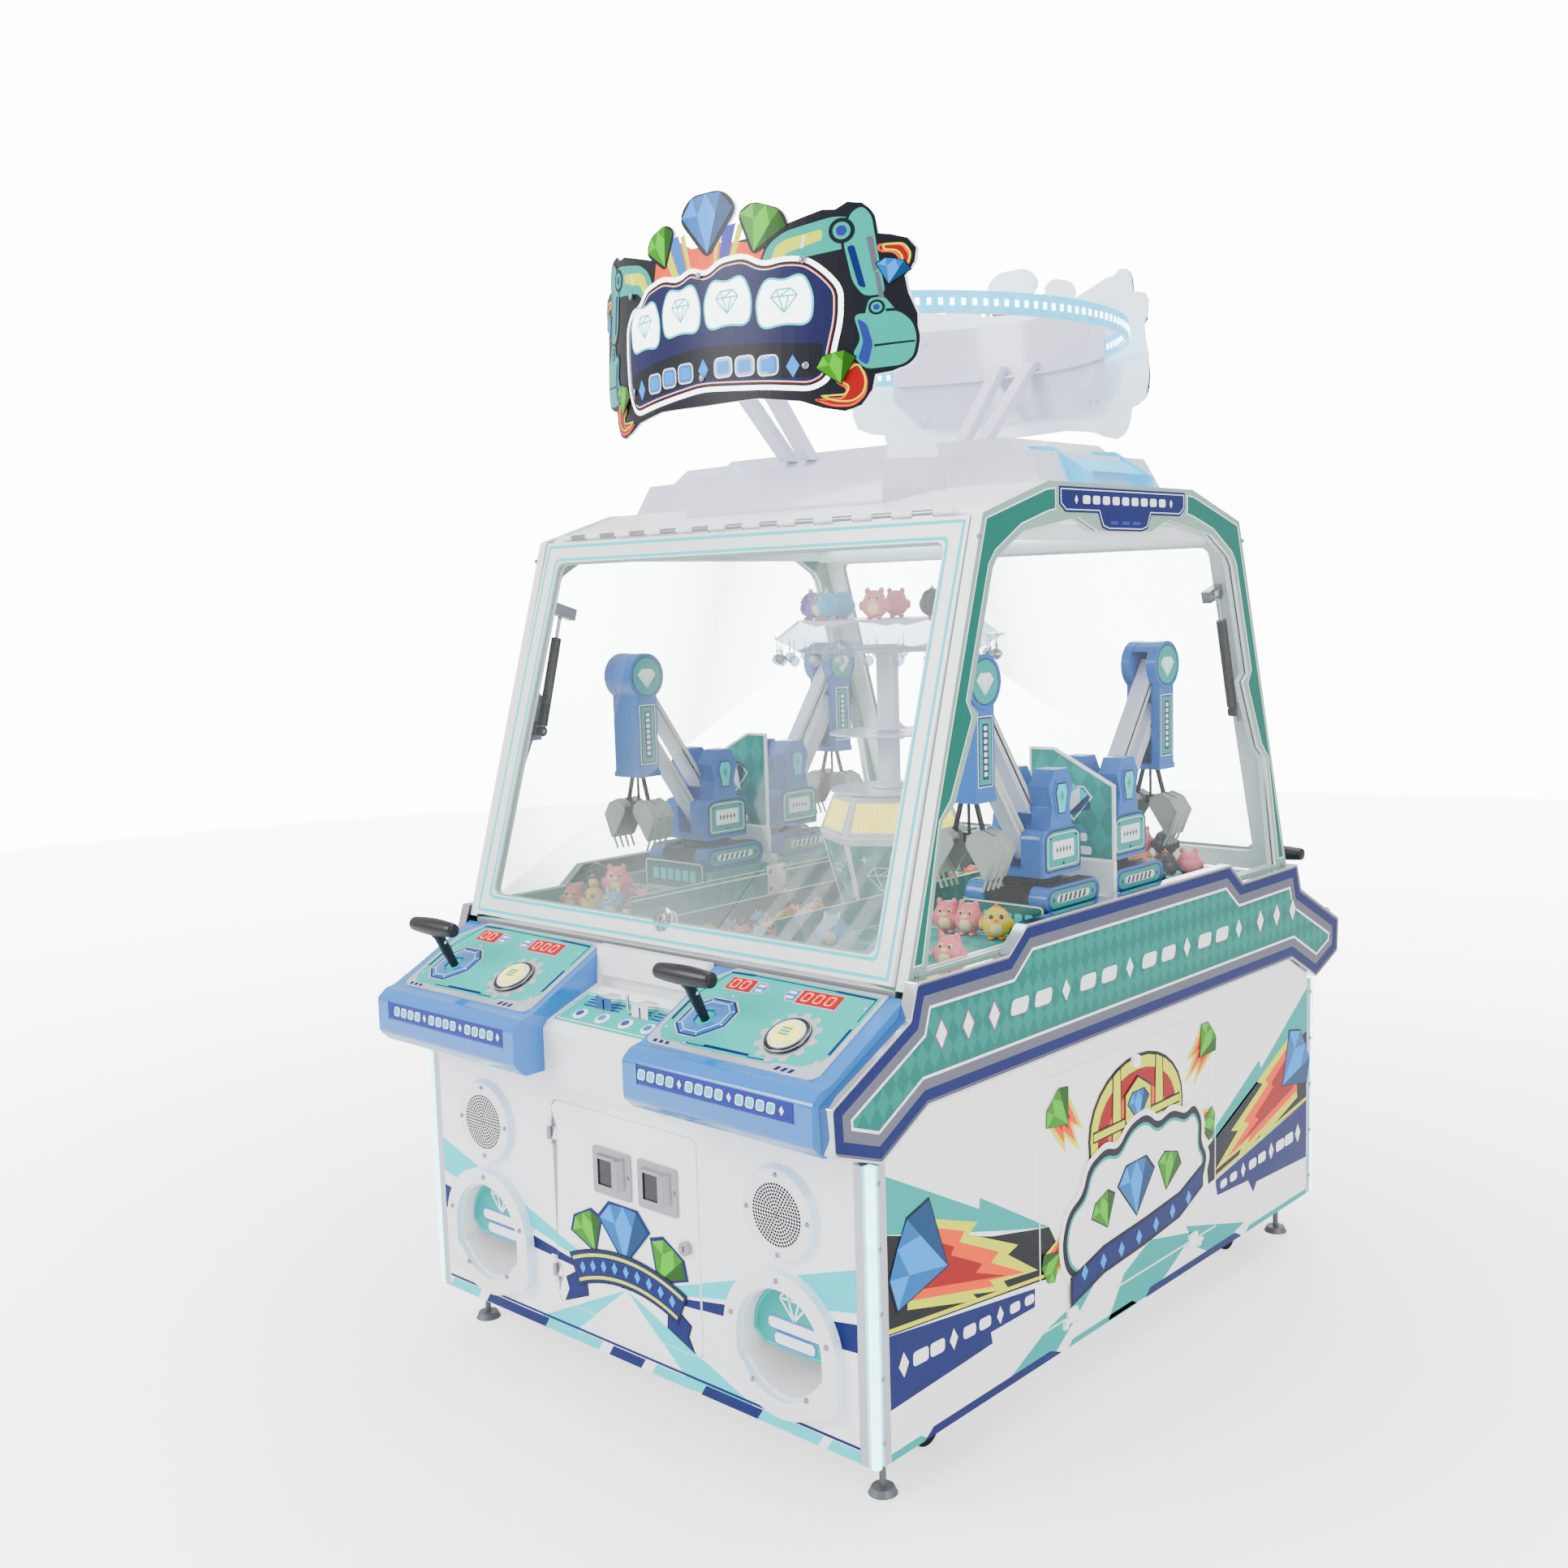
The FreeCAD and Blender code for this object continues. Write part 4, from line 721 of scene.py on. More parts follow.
def base_frame_rule(centre, normal, low, high):
    size = high - low
    if abs(centre.x) > TUBE[0] and abs(centre.y) > TUBE[1] and size.x < 22 and size.z > 300:
        return "tube_cyan"
    if abs(centre.x) > POST[0] and abs(centre.y) > POST[1] and size.z > 300:
        return "aluminium"
    return "frame_steel" if high.z > 60 else "dark_metal"


def banner_rule(centre, normal, low, high):
    if abs(centre.x) > BANNER_FACE + 0.3 or abs(normal.x) < 0.5:
        return "chrome"
    return "slate_silver"


def console_rule(centre, normal, low, high):
    size = high - low
    if size.x < 60:
        return "chrome"
    return "console_white" if high.x < 152 and low.x > -152 else "console_blue"


def plate_rule(centre, normal, low, high):
    size = high - low
    if size.x > 250:
        return "silver_border"
    if size.x < 70 and size.y < 60 and size.x > 50 and size.z < 40:
        return "display_red"
    if 80 < size.x < 100 and size.y > 60:
        return "gloss_black"
    return "dark_metal" if size.x < 50 else "display_red"


def fitting_rule(centre, normal, low, high):
    if high.x - low.x < 16:
        return "steel"
    outer = abs(centre.y) > abs(FRONT_Y) and abs(normal.y) < 0.6
    return "bezel_edge" if outer else "moulded_white"


def side_frame_rule(centre, normal, low, high):
    if high.x - low.x < 14 or high.z - low.z < 100:
        return "steel"
    return "frame_green" if abs(normal.x) > 0.7 else "frame_white"


def roof_cover_rule(centre, normal, low, high):
    return "fin_cyan" if low.x > 300 or high.x < -300 else "lavender_white"


def hoop_rule(centre, normal, low, high):
    """The lit faces are the hoop's inner and outer walls."""
    reach = hypot(centre.x, centre.y)
    if abs(centre.z - HOOP_Z) < 20 and reach > HOOP_RADIUS - 6 and abs(normal.z) < 0.5:
        return "led_band"
    return "lavender_white"


def deck_rule(centre, normal, low, high):
    size = high - low
    if size.z > 250:
        return "checker_wall" if abs(normal.y) > 0.7 and centre.z > PLINTH_TOP else "frame_white"
    if size.x < 8:
        return "frame_white"
    if size.y < 8:
        return "stripe_green"
    if size.x < 400:
        return "checker_deck" if normal.z > 0.7 else "print_teal"
    if normal.z > 0.7 and centre.z > 850:
        return "checker_deck" if abs(centre.x) > PIT_HALF else "frame_white"
    if abs(normal.x) > 0.7 and abs(centre.x) < PIT_HALF and centre.z > DECK_Z - 40:
        return "checker_rail"
    return "pit_grey"


def tower_rule(centre, normal, low, high):
    size = high - low
    reach = hypot(centre.x, centre.y)
    if high.z < 1000 and size.z > 200:
        return "checker_wall" if centre.z < FOOT_TOP + 1 else "frame_white"
    if low.z < 800:
        return "checker_wall" if centre.z < FOOT_TOP else "frame_white"
    if size.x < 60 and size.z > 200:
        return "lavender_white"
    if low.z > 1350 and size.x > 300:
        return "canopy_glitter"
    if size.x < 40 and low.z > 1300:
        return "crystal"
    if size.z < 14 and size.x > 200:
        return "shelf_clear"
    return "lavender_white" if reach < 200 else "crystal"


def door_rule(centre, normal, low, high):
    y, z = DOOR_FOOT
    half_turned = -1 if centre.y > 0 else 1
    dy, dz = centre.y * half_turned - y, centre.z - z
    inward = dy * cos(DOOR_TILT) - dz * sin(DOOR_TILT)
    up = dy * sin(DOOR_TILT) + dz * cos(DOOR_TILT)
    inside = DOOR_RIM < up < DOOR_LENGTH - DOOR_RIM and abs(centre.x) < DOOR_HALF - DOOR_RIM
    if inside and high.y - low.y > 200 and 7.5 < inward < 12.5:
        return "door_glass"
    if up > DOOR_LENGTH - 1.5 and inward < 3.5:
        return "steel"
    if abs(centre.x) < 26 and up < 75 and inward < -0.5:
        return "chrome"
    if inward > 20.5:
        return "steel"
    return "frame_white"


def coin_door_rule(centre, normal, low, high):
    x = centre.x if centre.y < 0 else -centre.x
    depth = abs(centre.y) - abs(FRONT_Y)
    if abs(x - 169) < 14 and 346 < centre.z < 374 and depth > 1:
        return "steel"
    if x < -190 and depth > -1:
        return "steel"
    if 409 < centre.z < 501 and min(abs(x + 25), abs(x - 99)) < 53 and depth > 1.9:
        return "steel" if depth > 2.1 or abs(normal.y) < 0.5 else "cabinet_white"
    return "cabinet_white"


def caster_rule(centre, normal, low, high):
    return "rubber" if high.z - low.z > 30 else "steel"


def hatch_rule(centre, normal, low, high):
    return "cabinet_white" if high.y - low.y > 300 else "steel"


def upper_body_rule(centre, normal, low, high):
    return "dark_metal" if centre.z < 969 else "digger_blue"


def stick_rule(centre, normal, low, high):
    return "dark_metal" if centre.z < COVER_FOOT else "digger_blue"


def track_rule(centre, normal, low, high):
    local = abs(abs(centre.x) - DIGGER_X)
    if high.z - low.z < 30 and high.z < 912:
        return "dark_metal"
    return "digger_blue" if 52.5 < local < 94 and centre.z < TREAD_TOP else "dark_metal"


def dress_cad_nodes():
    dress("base_frame", base_frame_rule)
    dress("cabinet_panels", always("cabinet_white"), 0.6)
    dress("control_unit", always("box_grey"))
    dress("side_banners", banner_rule, 1.4)
    dress("console_shells", console_rule, 3.0, 25)
    dress("console_plates", plate_rule, 0.5)
    dress("panel_fittings", fitting_rule, 1.2)
    dress("side_frames", side_frame_rule, 1.2)
    dress("side_windows", always("side_glass"), 0)
    dress("roof_panel", always("roof_white"), 0.8)
    dress("roof_cover", roof_cover_rule, 3.0, 25)
    dress("topper_frame", hoop_rule, 0.5)
    dress("playfield_deck", deck_rule, 0.8)
    dress("track_bases", track_rule, 2.0)
    dress("prize_tower", tower_rule, 0.8)
    for end in ("front", "rear"):
        dress(end + "_glass_door", door_rule, 1.0)
        dress(end + "_strut_cylinders", always("strut_black"), 0.6)
        dress(end + "_strut_rods", always("chrome"), 0.4)
        dress(end + "_coin_door", coin_door_rule, 0.8)
        dress(end + "_caster_wheels", caster_rule, 1.2)
    for side in ("right", "left"):
        dress(side + "_side_hatch", hatch_rule, 0.8)
    for corner in CORNERS:
        dress(corner + "_joystick", always("handle_black"), 1.2)
        dress(corner + "_push_button", always("cap_yellow"), 1.5)
        dress(corner + "_upper_body", upper_body_rule, 2.2, 25)
        dress(corner + "_boom", always("lavender_white"), 1.2)
        dress(corner + "_link_bar", always("lavender_white"), 1.2)
        dress(corner + "_stick", stick_rule, 1.6, 25)
        dress(corner + "_jaw_a", always("jaw_grey"), 1.0)
        dress(corner + "_jaw_b", always("jaw_grey"), 1.0)


# ---------------------------------------------------------------- banners and side panels
BANNER_OUTLINE = [(374, 922), (431, 877), (688, 879), (707, 821), (905, 723), (901, 650), (790, 610),
                  (667, 675)]
BANNER_MIDDLE = 783       # height of the row of marks
HATCH = rect(-329, 151, 329, 624)
HATCH_GAP = 4
PRINT_TOP = 900           # the side's print ends under the banner


def banner_art():
    outline = inset(closed_outline(BANNER_OUTLINE), 4)
    piece = Piece("right_banner_print", on_banner)
    piece.line(outline, 19, "print_navy")
    field = inset(outline, 43)
    piece.line(inset(outline, 38), 6, "print_white", 1)
    piece.film(field, "checker_side", 1)
    for y in (-627, -552, -477, 513, 591, 669):
        diamond(piece, y, BANNER_MIDDLE, 21, 31, "slate_silver", 2)
        diamond(piece, y, BANNER_MIDDLE, 15, 24, "print_white", 3)
    for index in range(12):
        y = -400 + index * 74
        if index % 3 == 2:
            diamond(piece, y, BANNER_MIDDLE, 13, 20, "print_white", 3)
        else:
            bar = rounded([(y - 29, 770), (y + 23, 770), (y + 29, 798), (y - 23, 798)], 10)
            piece.film(shifted(bar, 3, -3), "slate_silver", 2)
            piece.film(bar, "print_white", 3)
    right = piece.build("machine_frame", "banner_teal")
    again(right, "left_banner_print", "machine_frame")


def side_shapes():
    """The side's printed areas as (outline, finish, level): front half, rear half and lower edge."""
    front = [([(-797, 592), (-516, 446), (-513, 465), (-300, 345), (-432, 380), (-797, 487)], "print_teal",
              0),
             ([(-797, 487), (-477, 384), (-300, 345), (-272, 300), (-281, 245), (-486, 272), (-797, 311)],
              "print_black", 0),
             ([(-797, 311), (-349, 244), (-350, 209), (-487, 211), (-482, 189), (-526, 187), (-797, 178)],
              "print_navy", 1),
             ([(-797, 322), (-281, 256), (-281, 250), (-797, 314)], "print_yellow", 2),
             ([(-690, 484), (-522, 424), (-548, 410), (-401, 344), (-433, 336), (-340, 276), (-447, 292),
               (-430, 270), (-540, 300), (-520, 282), (-720, 335)], "print_yellow", 1),
             ([(-690, 470), (-560, 420), (-575, 405), (-459, 350), (-484, 338), (-382, 286), (-490, 308),
               (-476, 292), (-720, 350)], "print_orange", 2),
             ([(-690, 452), (-590, 402), (-600, 390), (-510, 345), (-530, 335), (-440, 300), (-700, 362)],
              "print_red", 3)]
    rear = [([(797, 600), (797, 487), (560, 430), (330, 340), (300, 352), (531, 466), (540, 446)],
             "print_teal", 0),
            ([(797, 487), (797, 318), (300, 250), (290, 330), (551, 433)], "print_black", 0),
            ([(797, 318), (797, 178), (520, 192), (505, 172), (480, 206), (340, 214), (330, 250)],
             "print_navy", 1),
            ([(797, 329), (330, 261), (330, 255), (797, 321)], "print_yellow", 2),
            ([(690, 492), (520, 420), (548, 408), (401, 340), (433, 332), (330, 272), (447, 288),
              (430, 266),
              (540, 296), (525, 278), (720, 335)], "print_yellow", 1),
            ([(690, 474), (560, 414), (575, 402), (459, 346), (484, 334), (382, 284), (490, 306),
              (476, 290),
              (720, 352)], "print_orange", 2),
            ([(690, 456), (590, 400), (600, 388), (510, 343), (530, 333), (440, 298), (700, 364)],
             "print_red", 3)]
    low = [([(-440, 100), (-317, 150), (-240, 166), (-120, 205), (-200, 148), (-291, 92)], "print_teal", 0),
           ([(-100, 92), (-40, 168), (60, 205), (240, 165), (126, 112), (60, 92)], "print_teal", 0),
           ([(204, 188), (464, 116), (321, 92), (250, 128)], "print_teal", 0),
           ([(-768, 90), (-768, 104), (-690, 104), (-668, 90)], "print_teal", 0),
           ([(-680, 90), (-655, 106), (-300, 106), (-262, 90)], "print_navy", 1),
           ([(-240, 90), (-225, 102), (-10, 102), (10, 90)], "print_teal", 0),
           ([(40, 90), (60, 106), (420, 106), (450, 90)], "print_navy", 1),
           ([(470, 90), (485, 102), (768, 102), (768, 90)], "print_teal", 0)]
    return front + rear + low


def diagonal_marks(piece, start, end, count, level):
    """White diamonds and bars along a band."""
    for index in range(count):
        t = (index + 0.5) / count
        u = start[0] + (end[0] - start[0]) * t
        v = start[1] + (end[1] - start[1]) * t
        size = 22 - 8 * t
        if index % 3 == 0:
            diamond(piece, u, v, size * 0.6, size, "print_white", level)
        else:
            slope = (end[1] - start[1]) / (end[0] - start[0]) * size
            bar = [(u - size, v - slope - size * 0.6), (u + size, v + slope - size * 0.6),
                   (u + size, v + slope + size * 0.6), (u - size, v - slope + size * 0.6)]
            piece.film(rounded(bar, 8), "print_white", level)


def side_art():
    panel = Piece("right_side_print", on_side)
    hatch = Piece("right_hatch_print", on_side)
    for outline, finish, level in side_shapes():
        outline = within(outline, rect(-SIDE_Y, 0, SIDE_Y, PRINT_TOP))
        for part in outside(outline, inset(HATCH, -HATCH_GAP)):
            panel.film(part, finish, level)
        hatch.film(within(outline, HATCH), finish, level)
    gem(panel, -690, 418, 92, 62, "blue", 4, rim=0.05)
    gem(panel, 712, 424, 82, -58, "blue", 4, rim=0.05)
    diagonal_marks(panel, (-755, 246), (-345, 228), 9, 3)
    diagonal_marks(panel, (745, 250), (345, 232), 9, 3)
    hatch_emblem(hatch)
    right = panel.build("machine_frame", "cabinet_white")
    again(right, "left_side_print", "machine_frame")
    cover = hatch.build("right_side_hatch", "hatch_white")
    again(cover, "left_hatch_print", "left_side_hatch")


CLOUD = [(-250, 245), (-262, 300), (-240, 352), (-190, 372), (-170, 420), (-110, 440), (-66, 424),
         (-20, 462),
         (42, 470), (86, 436), (140, 452), (196, 428), (232, 440), (262, 404), (258, 352), (284, 318),
         (262, 268),
         (214, 240), (150, 226), (90, 232), (20, 214), (-60, 214), (-130, 200), (-200, 208)]


def hatch_emblem(piece):
    """Jewel box, blank plaque and four flying gems."""
    arc = [(12 + 172 * cos(pi * i / 14), 470 + 124 * sin(pi * i / 14)) for i in range(15)]
    box = arc + [(-152, 350), (176, 350)]
    piece.film(inset(box, -7), "print_black", 4)
    piece.film(box, "print_red", 5)
    piece.line(box, 24, "print_yellow", 6)
    piece.film(inset(box, 62), "print_orange", 6)
    for u in (-84, 76):
        strap = within([(u, 380), (u + 34, 380), (u + 30, 600), (u + 8, 600)],
                       arc + [(-160, 380), (184, 380)])
        piece.film(inset(strap, -4), "print_black", 7)
        piece.film(strap, "print_yellow", 8)
    piece.film(rect(-152, 462, 176, 484), "print_black", 9)
    piece.film(rect(-150, 466, 174, 480), "print_yellow", 10)
    hexagon = circle(12, 500, 58, 6, pi / 6)
    piece.film(hexagon, "print_black", 11)
    piece.film(inset(hexagon, 4), "print_yellow", 12)
    gem(piece, 12, 502, 38, 0, "blue", 13)
    for u, v, turn, scale in ((-268, 560, 40, 52), (292, 566, -48, 50), (-300, 270, 120, 40),
                              (300, 384, -100, 40)):
        c, s = cos(radians(turn)), sin(radians(turn))
        tail = [(-0.8, 0.1), (-0.75, -1.6), (-0.4, -1.1), (-0.15, -2.3), (0.2, -1.2), (0.5, -1.9),
                (0.8, 0.1)]
        for size, finish, level in ((1.0, "print_yellow", 4), (0.78, "print_orange", 5),
                                    (0.5, "print_red", 6)):
            flame = [(u + (x * c - y * s) * scale * size, v + (x * s + y * c) * scale * size) for x,
                     y in tail]
            piece.film(within(flame, HATCH), finish, level)
        gem(piece, u, v, scale * 0.9, turn, "green", 10, rim=0.04)
    for outline, finish, level in ((inset(CLOUD, -16), "print_white", 16),
                                   (inset(CLOUD, -4), "print_black", 17),
                                   (inset(CLOUD, 9), "print_teal", 18),
                                   (inset(CLOUD, 15), "print_white", 19)):
        piece.film(within(rounded(outline, 30), HATCH), finish, level)
    ribbon = [(-232, 178), (-120, 204), (30, 212), (170, 226), (262, 262), (262, 300), (170, 268),
              (30, 256),
              (-120, 248), (-232, 222)]
    piece.film(inset(ribbon, -7), "print_black", 20)
    piece.film(ribbon, "print_navy", 21)
    for index in range(7):
        u = -190 + index * 66
        diamond(piece, u, 222 + 0.0006 * (u + 190) ** 2 * 0.3, 11, 16, "gem_blue_light", 22)
    gem(piece, 0, 344, 66, 0, "blue", 20, rim=0.1)
    gem(piece, -120, 326, 42, 18, "green", 20, rim=0.1)
    gem(piece, 128, 340, 46, -16, "green", 20, rim=0.1)


# ---------------------------------------------------------------- front panel
def ray(end_low, end_high):
    return [(0, 235), end_low, end_high]


FRONT_RAYS = ((ray((564, 349), (564, 423)), "line_turquoise"), (ray((564, 281), (564, 330)), "print_navy"),
              (ray((-564, 342), (-564, 413)), "line_turquoise"),
              (ray((-564, 262), (-564, 312)), "print_navy"),
              (ray((-300, 92), (-178, 92)), "line_turquoise"),
              (ray((176, 92), (320, 112)), "line_turquoise"))
DOOR_WINDOW = rect(-198, 161, 198, 563)
DOOR_GAP = 3
COIN_DOOR_RISE = 2.0      # of the coin door's face over the front panel
GRILLE_RISE = 14.0        # of a loudspeaker grille's face over the front panel
FLAP_DEPTH = 18.0         # of an outlet flap behind the front panel
BEZEL_SPRING = 253.5      # where an outlet's round top starts
SPEAKER_Z = 481.0


def front_art():
    panel = Piece("front_panel_print", on_front)
    door = Piece("front_coin_door_print", lambda u, v, n: (u, FRONT_Y - COIN_DOOR_RISE - n, v))
    for outline, finish in FRONT_RAYS:
        around = outside(outline, inset(DOOR_WINDOW, -DOOR_GAP))
        for side in (-1, 1):
            hole = shifted(arch(110, 186, BEZEL_SPRING), side * OUTLET_X, 0)
            around = [part for film in around for part in outside(film, hole)]
        for part in around:
            panel.film(part, finish, 0)
        door.film(within(outline, DOOR_WINDOW), finish, 0)
    segments = ((-564, -470, "line_turquoise"), (-440, -250, "print_navy"), (-250, -90, "line_turquoise"),
                (-60, 30, "print_navy"), (60, 170, "line_turquoise"), (190, 330, "print_navy"),
                (330, 470, "line_turquoise"), (490, 564, "line_turquoise"))
    for u0, u1, finish in segments:
        panel.film([(u0, 91), (u1, 91), (u1 + 14 if u1 < 550 else u1, 112), (u0 + 14, 112)], finish, 1)
    panel.film([(-560, 114), (564, 114), (564, 119), (-560, 119)], "print_navy", 1)
    door_emblem(door)
    front = panel.build("machine_frame", "cabinet_white")
    again(front, "rear_panel_print", "machine_frame")
    cover = door.build("front_coin_door", "coin_door_print")
    again(cover, "rear_coin_door_print", "rear_coin_door")


def arc_band(radius, width, start, end, centre, steps=18):
    """Curved strip between two radii; angles in degrees from straight up, positive to the right."""
    inner, outer = [], []
    for index in range(steps + 1):
        angle = radians(start + (end - start) * index / steps)
        inner.append((centre[0] + radius * sin(angle), centre[1] + radius * cos(angle)))
        outer.append((centre[0] + (radius + width) * sin(angle), centre[1] + (radius + width) * cos(angle)))
    return inner + outer[::-1]


def door_emblem(piece):
    """Three gems over a blank ribbon."""
    centre = (3, -92)
    for u, v, size, turn, colour in ((-104, 330, 46, 26, "green"), (116, 318, 50, -30, "green")):
        gem(piece, u, v, size, turn, colour, 2, "print_navy", 0.16)
    gem(piece, 0, 352, 66, 0, "blue", 6, "print_navy", 0.12)
    for side in (-1, 1):
        tail = [(side * 118, 246), (side * 172, 214), (side * 164, 192), (side * 178, 168),
                (side * 112, 196)]
        piece.film(inset(tail, -3), "print_black", 3)
        piece.film(tail, "print_navy", 4)
    piece.film(arc_band(330, 66, -24.5, 24.5, centre), "print_black", 8)
    piece.film(arc_band(333, 60, -24, 24, centre), "print_navy", 9)
    for radius in (338, 381):
        piece.film(arc_band(radius, 6, -23.5, 23.5, centre), "print_yellow", 10)
    for index in range(9):
        angle = radians(-20 + index * 5)
        u, v = centre[0] + 363 * sin(angle), centre[1] + 363 * cos(angle)
        diamond(piece, u, v, 8, 12, "gem_blue_light", 11)


def speakers():
    """Rings of black discs on the face of each loudspeaker grille, where its holes are: painted shade, as
    the holes themselves are not cut.
    """
    for side, name in ((1, "right"), (-1, "left")):
        x = side * OUTLET_X
        piece = Piece(f"front_{name}_speaker_hole_shade",
                      lambda u, v, n: (x + u, FRONT_Y - GRILLE_RISE - n, SPEAKER_Z + v))
        # Black discs stand for the grille's holes: painted shade, as no holes are cut.
        piece.film(circle(0, 0, 2.6, 8), "print_black")
        for row in range(1, 10):
            for u, v in circle(0, 0, row * 5.9, row * 6):
                piece.film(circle(u, v, 2.5, 8), "print_black")
        holes = piece.build("machine_frame", "bezel_blue")
        again(holes, f"rear_{name}_speaker_hole_shade", "machine_frame")


def outlets():
    """Teal flap with a gem drawing a little way inside each prize outlet, and its hinge rod."""
    for side, name in ((1, "right"), (-1, "left")):
        x = side * OUTLET_X
        piece = Piece(f"front_{name}_outlet_flap", lambda u, v, n: (x + u, FRONT_Y + FLAP_DEPTH - n, v))
        flap = arch(91.5, 226, BEZEL_SPRING)
        piece.add(prism(flap, -3, 0), "print_teal")
        piece.line(inset(flap, 3), 2, "line_turquoise")
        gem_lines(piece, 4, 314, 32, 4, "print_white", 1)
        for row, size in ((270, 60), (244, 46)):
            bar = rounded(rect(4 - size, row - 10, 4 + size, row + 9), 9)
            piece.film(inset(bar, -4), "console_blue", 1)
            piece.film(bar, "print_white", 2)
        piece.add(tube([(-89, 256, -6), (89, 256, -6)], 2.5), "steel", True)
        wall = piece.build("machine_frame", "cabinet_white")
        again(wall, f"rear_{name}_outlet_flap", "machine_frame")


def ticket_mouths():
    """Dark windows and screws on the coin door's chrome plates, and the lock's keyway as a black film:
    painted shade of the slot.
    """
    piece = Piece("front_ticket_mouths", lambda u, v, n: (u, FRONT_Y - n, v))
    for x in (-25.0, 99.0):
        piece.add(prism(rect(x - 31.6, 430.4, x + 11.6, 479.6), 2.6, 9.0), "gloss_black")
        for u in (x - 45, x + 44):
            screw(piece, u, 455, 6, 4.5, "steel")
    # The lock's keyway is a black film on the lock's face: painted shade of the slot.
    piece.add(prism(rect(168, 354, 170, 366), 12, 12.6), "print_black")
    mouths = piece.build("front_coin_door", "coin_door_print")
    again(mouths, "rear_ticket_mouths", "rear_coin_door")


# ---------------------------------------------------------------- consoles
PLATE_TOP = 3.0
STICK_SPOT = (243.0, 78.0)
BUTTON_SPOT = (438.0, 77.0)
SEGMENTS = ((0.0, 1.0, 1.0, 1.0), (0.0, 0.5, 0.0, 1.0), (1.0, 0.5, 1.0, 1.0), (0.0, 0.0, 0.0, 0.5),
            (1.0, 0.0, 1.0, 0.5), (0.0, 0.0, 1.0, 0.0))
DIGIT_LEAN = 0.1
DIGIT_GAP = 0.1           # share of a segment left blank at each end


def digit_zero(piece, u, v, width, height, base):
    """A lit seven-segment nought."""
    for a, b, c, d in SEGMENTS:
        start = Vector((u + a * width + b * height * DIGIT_LEAN, v + b * height))
        end = Vector((u + c * width + d * height * DIGIT_LEAN, v + d * height))
        gap = (end - start) * DIGIT_GAP
        piece.stroke(start + gap, end - gap, 2.6, "digit_red", 0, base)


def plate_print(piece, shift):
    """Teal field, navy lines, badges, gear ring and digits of one control plate."""
    def move(points):
        return shifted(points, shift, 0)

    field = [(168, 36), (190, 13), (234, 15), (243, 11), (446, 13), (456, 20), (510, 22), (545, 50),
             (549, 204),
             (212, 206), (168, 162)]
    piece.film(move(rounded(field, 10)), "plate_teal", 0)
    lines = (((204, 199), (262, 201), 5), ((262, 201), (452, 199), 2.5),
             ((452, 199), (541, 197), 5), ((541, 197), (541, 140), 2.5), ((541, 122), (541, 58), 6),
             ((241, 17), (300, 18), 2.5), ((290, 20), (394, 21), 6), ((394, 17), (446, 19), 2.5),
             ((174, 62), (174, 128), 6), ((174, 128), (206, 199), 2.5))
    for a, b, width in lines:
        piece.stroke((a[0] + shift, a[1]), (b[0] + shift, b[1]), width, "print_navy", 1)
    for u in (178, 193, 208):
        piece.film(move(rect(u, 4, u + 8, 11)), "print_navy", 1)
    for u in (462, 477, 492):
        piece.film(move([(u, 4), (u + 8, 4), (u + 13, 13), (u + 5, 13)]), "print_navy", 1)
    for u0, v0, u1, v1, side in ((222, 158, 279, 188, 1), (390, 156, 478, 188, -1)):
        piece.line(move(rect(u0 - 3, v0 - 3, u1 + 3, v1 + 3)), 3, "silver_border", 1)
        piece.add(prism(move(rect(u0, v0, u1, v1)), 0.3, 2.0), "display_red")
        near, far = (u1 + 3, u1 + 34) if side > 0 else (u0 - 3, u0 - 34)
        badge = [(near, v0), (near, v1), (far - side * 10, v1), (far, (v0 + v1) / 2 + 4),
                 (far, (v0 + v1) / 2 - 4),
                 (far - side * 10, v0)]
        piece.film(move(badge), "silver_border", 1)
        piece.film(move(inset(badge, 3)), "console_blue", 2)
        middle = (near + far) / 2
        for row in (-6, 6):
            bar = rounded(rect(middle - 9, (v0 + v1) / 2 + row - 3, middle + 7, (v0 + v1) / 2 + row + 3), 3)
            piece.film(move(bar), "print_white", 3)
    for index in range(2):
        digit_zero(piece, 229 + index * 24 + shift, 163, 14, 20, 2.0)
    for index in range(3):
        digit_zero(piece, 399 + index * 26 + shift, 162, 14, 20, 2.0)
    gear_ring(piece, BUTTON_SPOT[0] + shift, BUTTON_SPOT[1])
    for u, v in ((534, 173), (528, 39), (177, 43), (256, 142), (246, 17)):
        screw(piece, u + shift, v, 0, 3.4)


def gear_ring(piece, u, v, teeth=12):
    """Silver cog printed round the push button, with a dark housing ring over it."""
    outer = []
    for tooth in range(teeth):
        middle = 2 * pi * tooth / teeth
        for offset, radius in ((-0.17, 51), (-0.11, 61), (0.11, 61), (0.17, 51)):
            outer.append((u + radius * cos(middle + offset), v + radius * sin(middle + offset)))
    inner = [(u + 40 * cos(2 * pi * i / len(outer) - 0.17), v + 40 * sin(2 * pi * i / len(outer) - 0.17))
             for i in range(len(outer))]
    piece.add(ring(outer, inner, LAYER, LAYER + 0.8), "silver_border")
    piece.add(lathe([(33, 6.0), (36, 8.4), (40, 8.2), (43.2, 4.5), (43.4, 0.2), (38, 0.2), (33, 5.6)], 48,
                    (u, v)),
              "gloss_black", True)
    piece.add(lathe([(29.2, 6.8), (29.6, 10.4), (32.6, 10.8), (34.2, 8.2), (34.2, 6.8)], 48, (u, v)),
              "moulded_white", True)


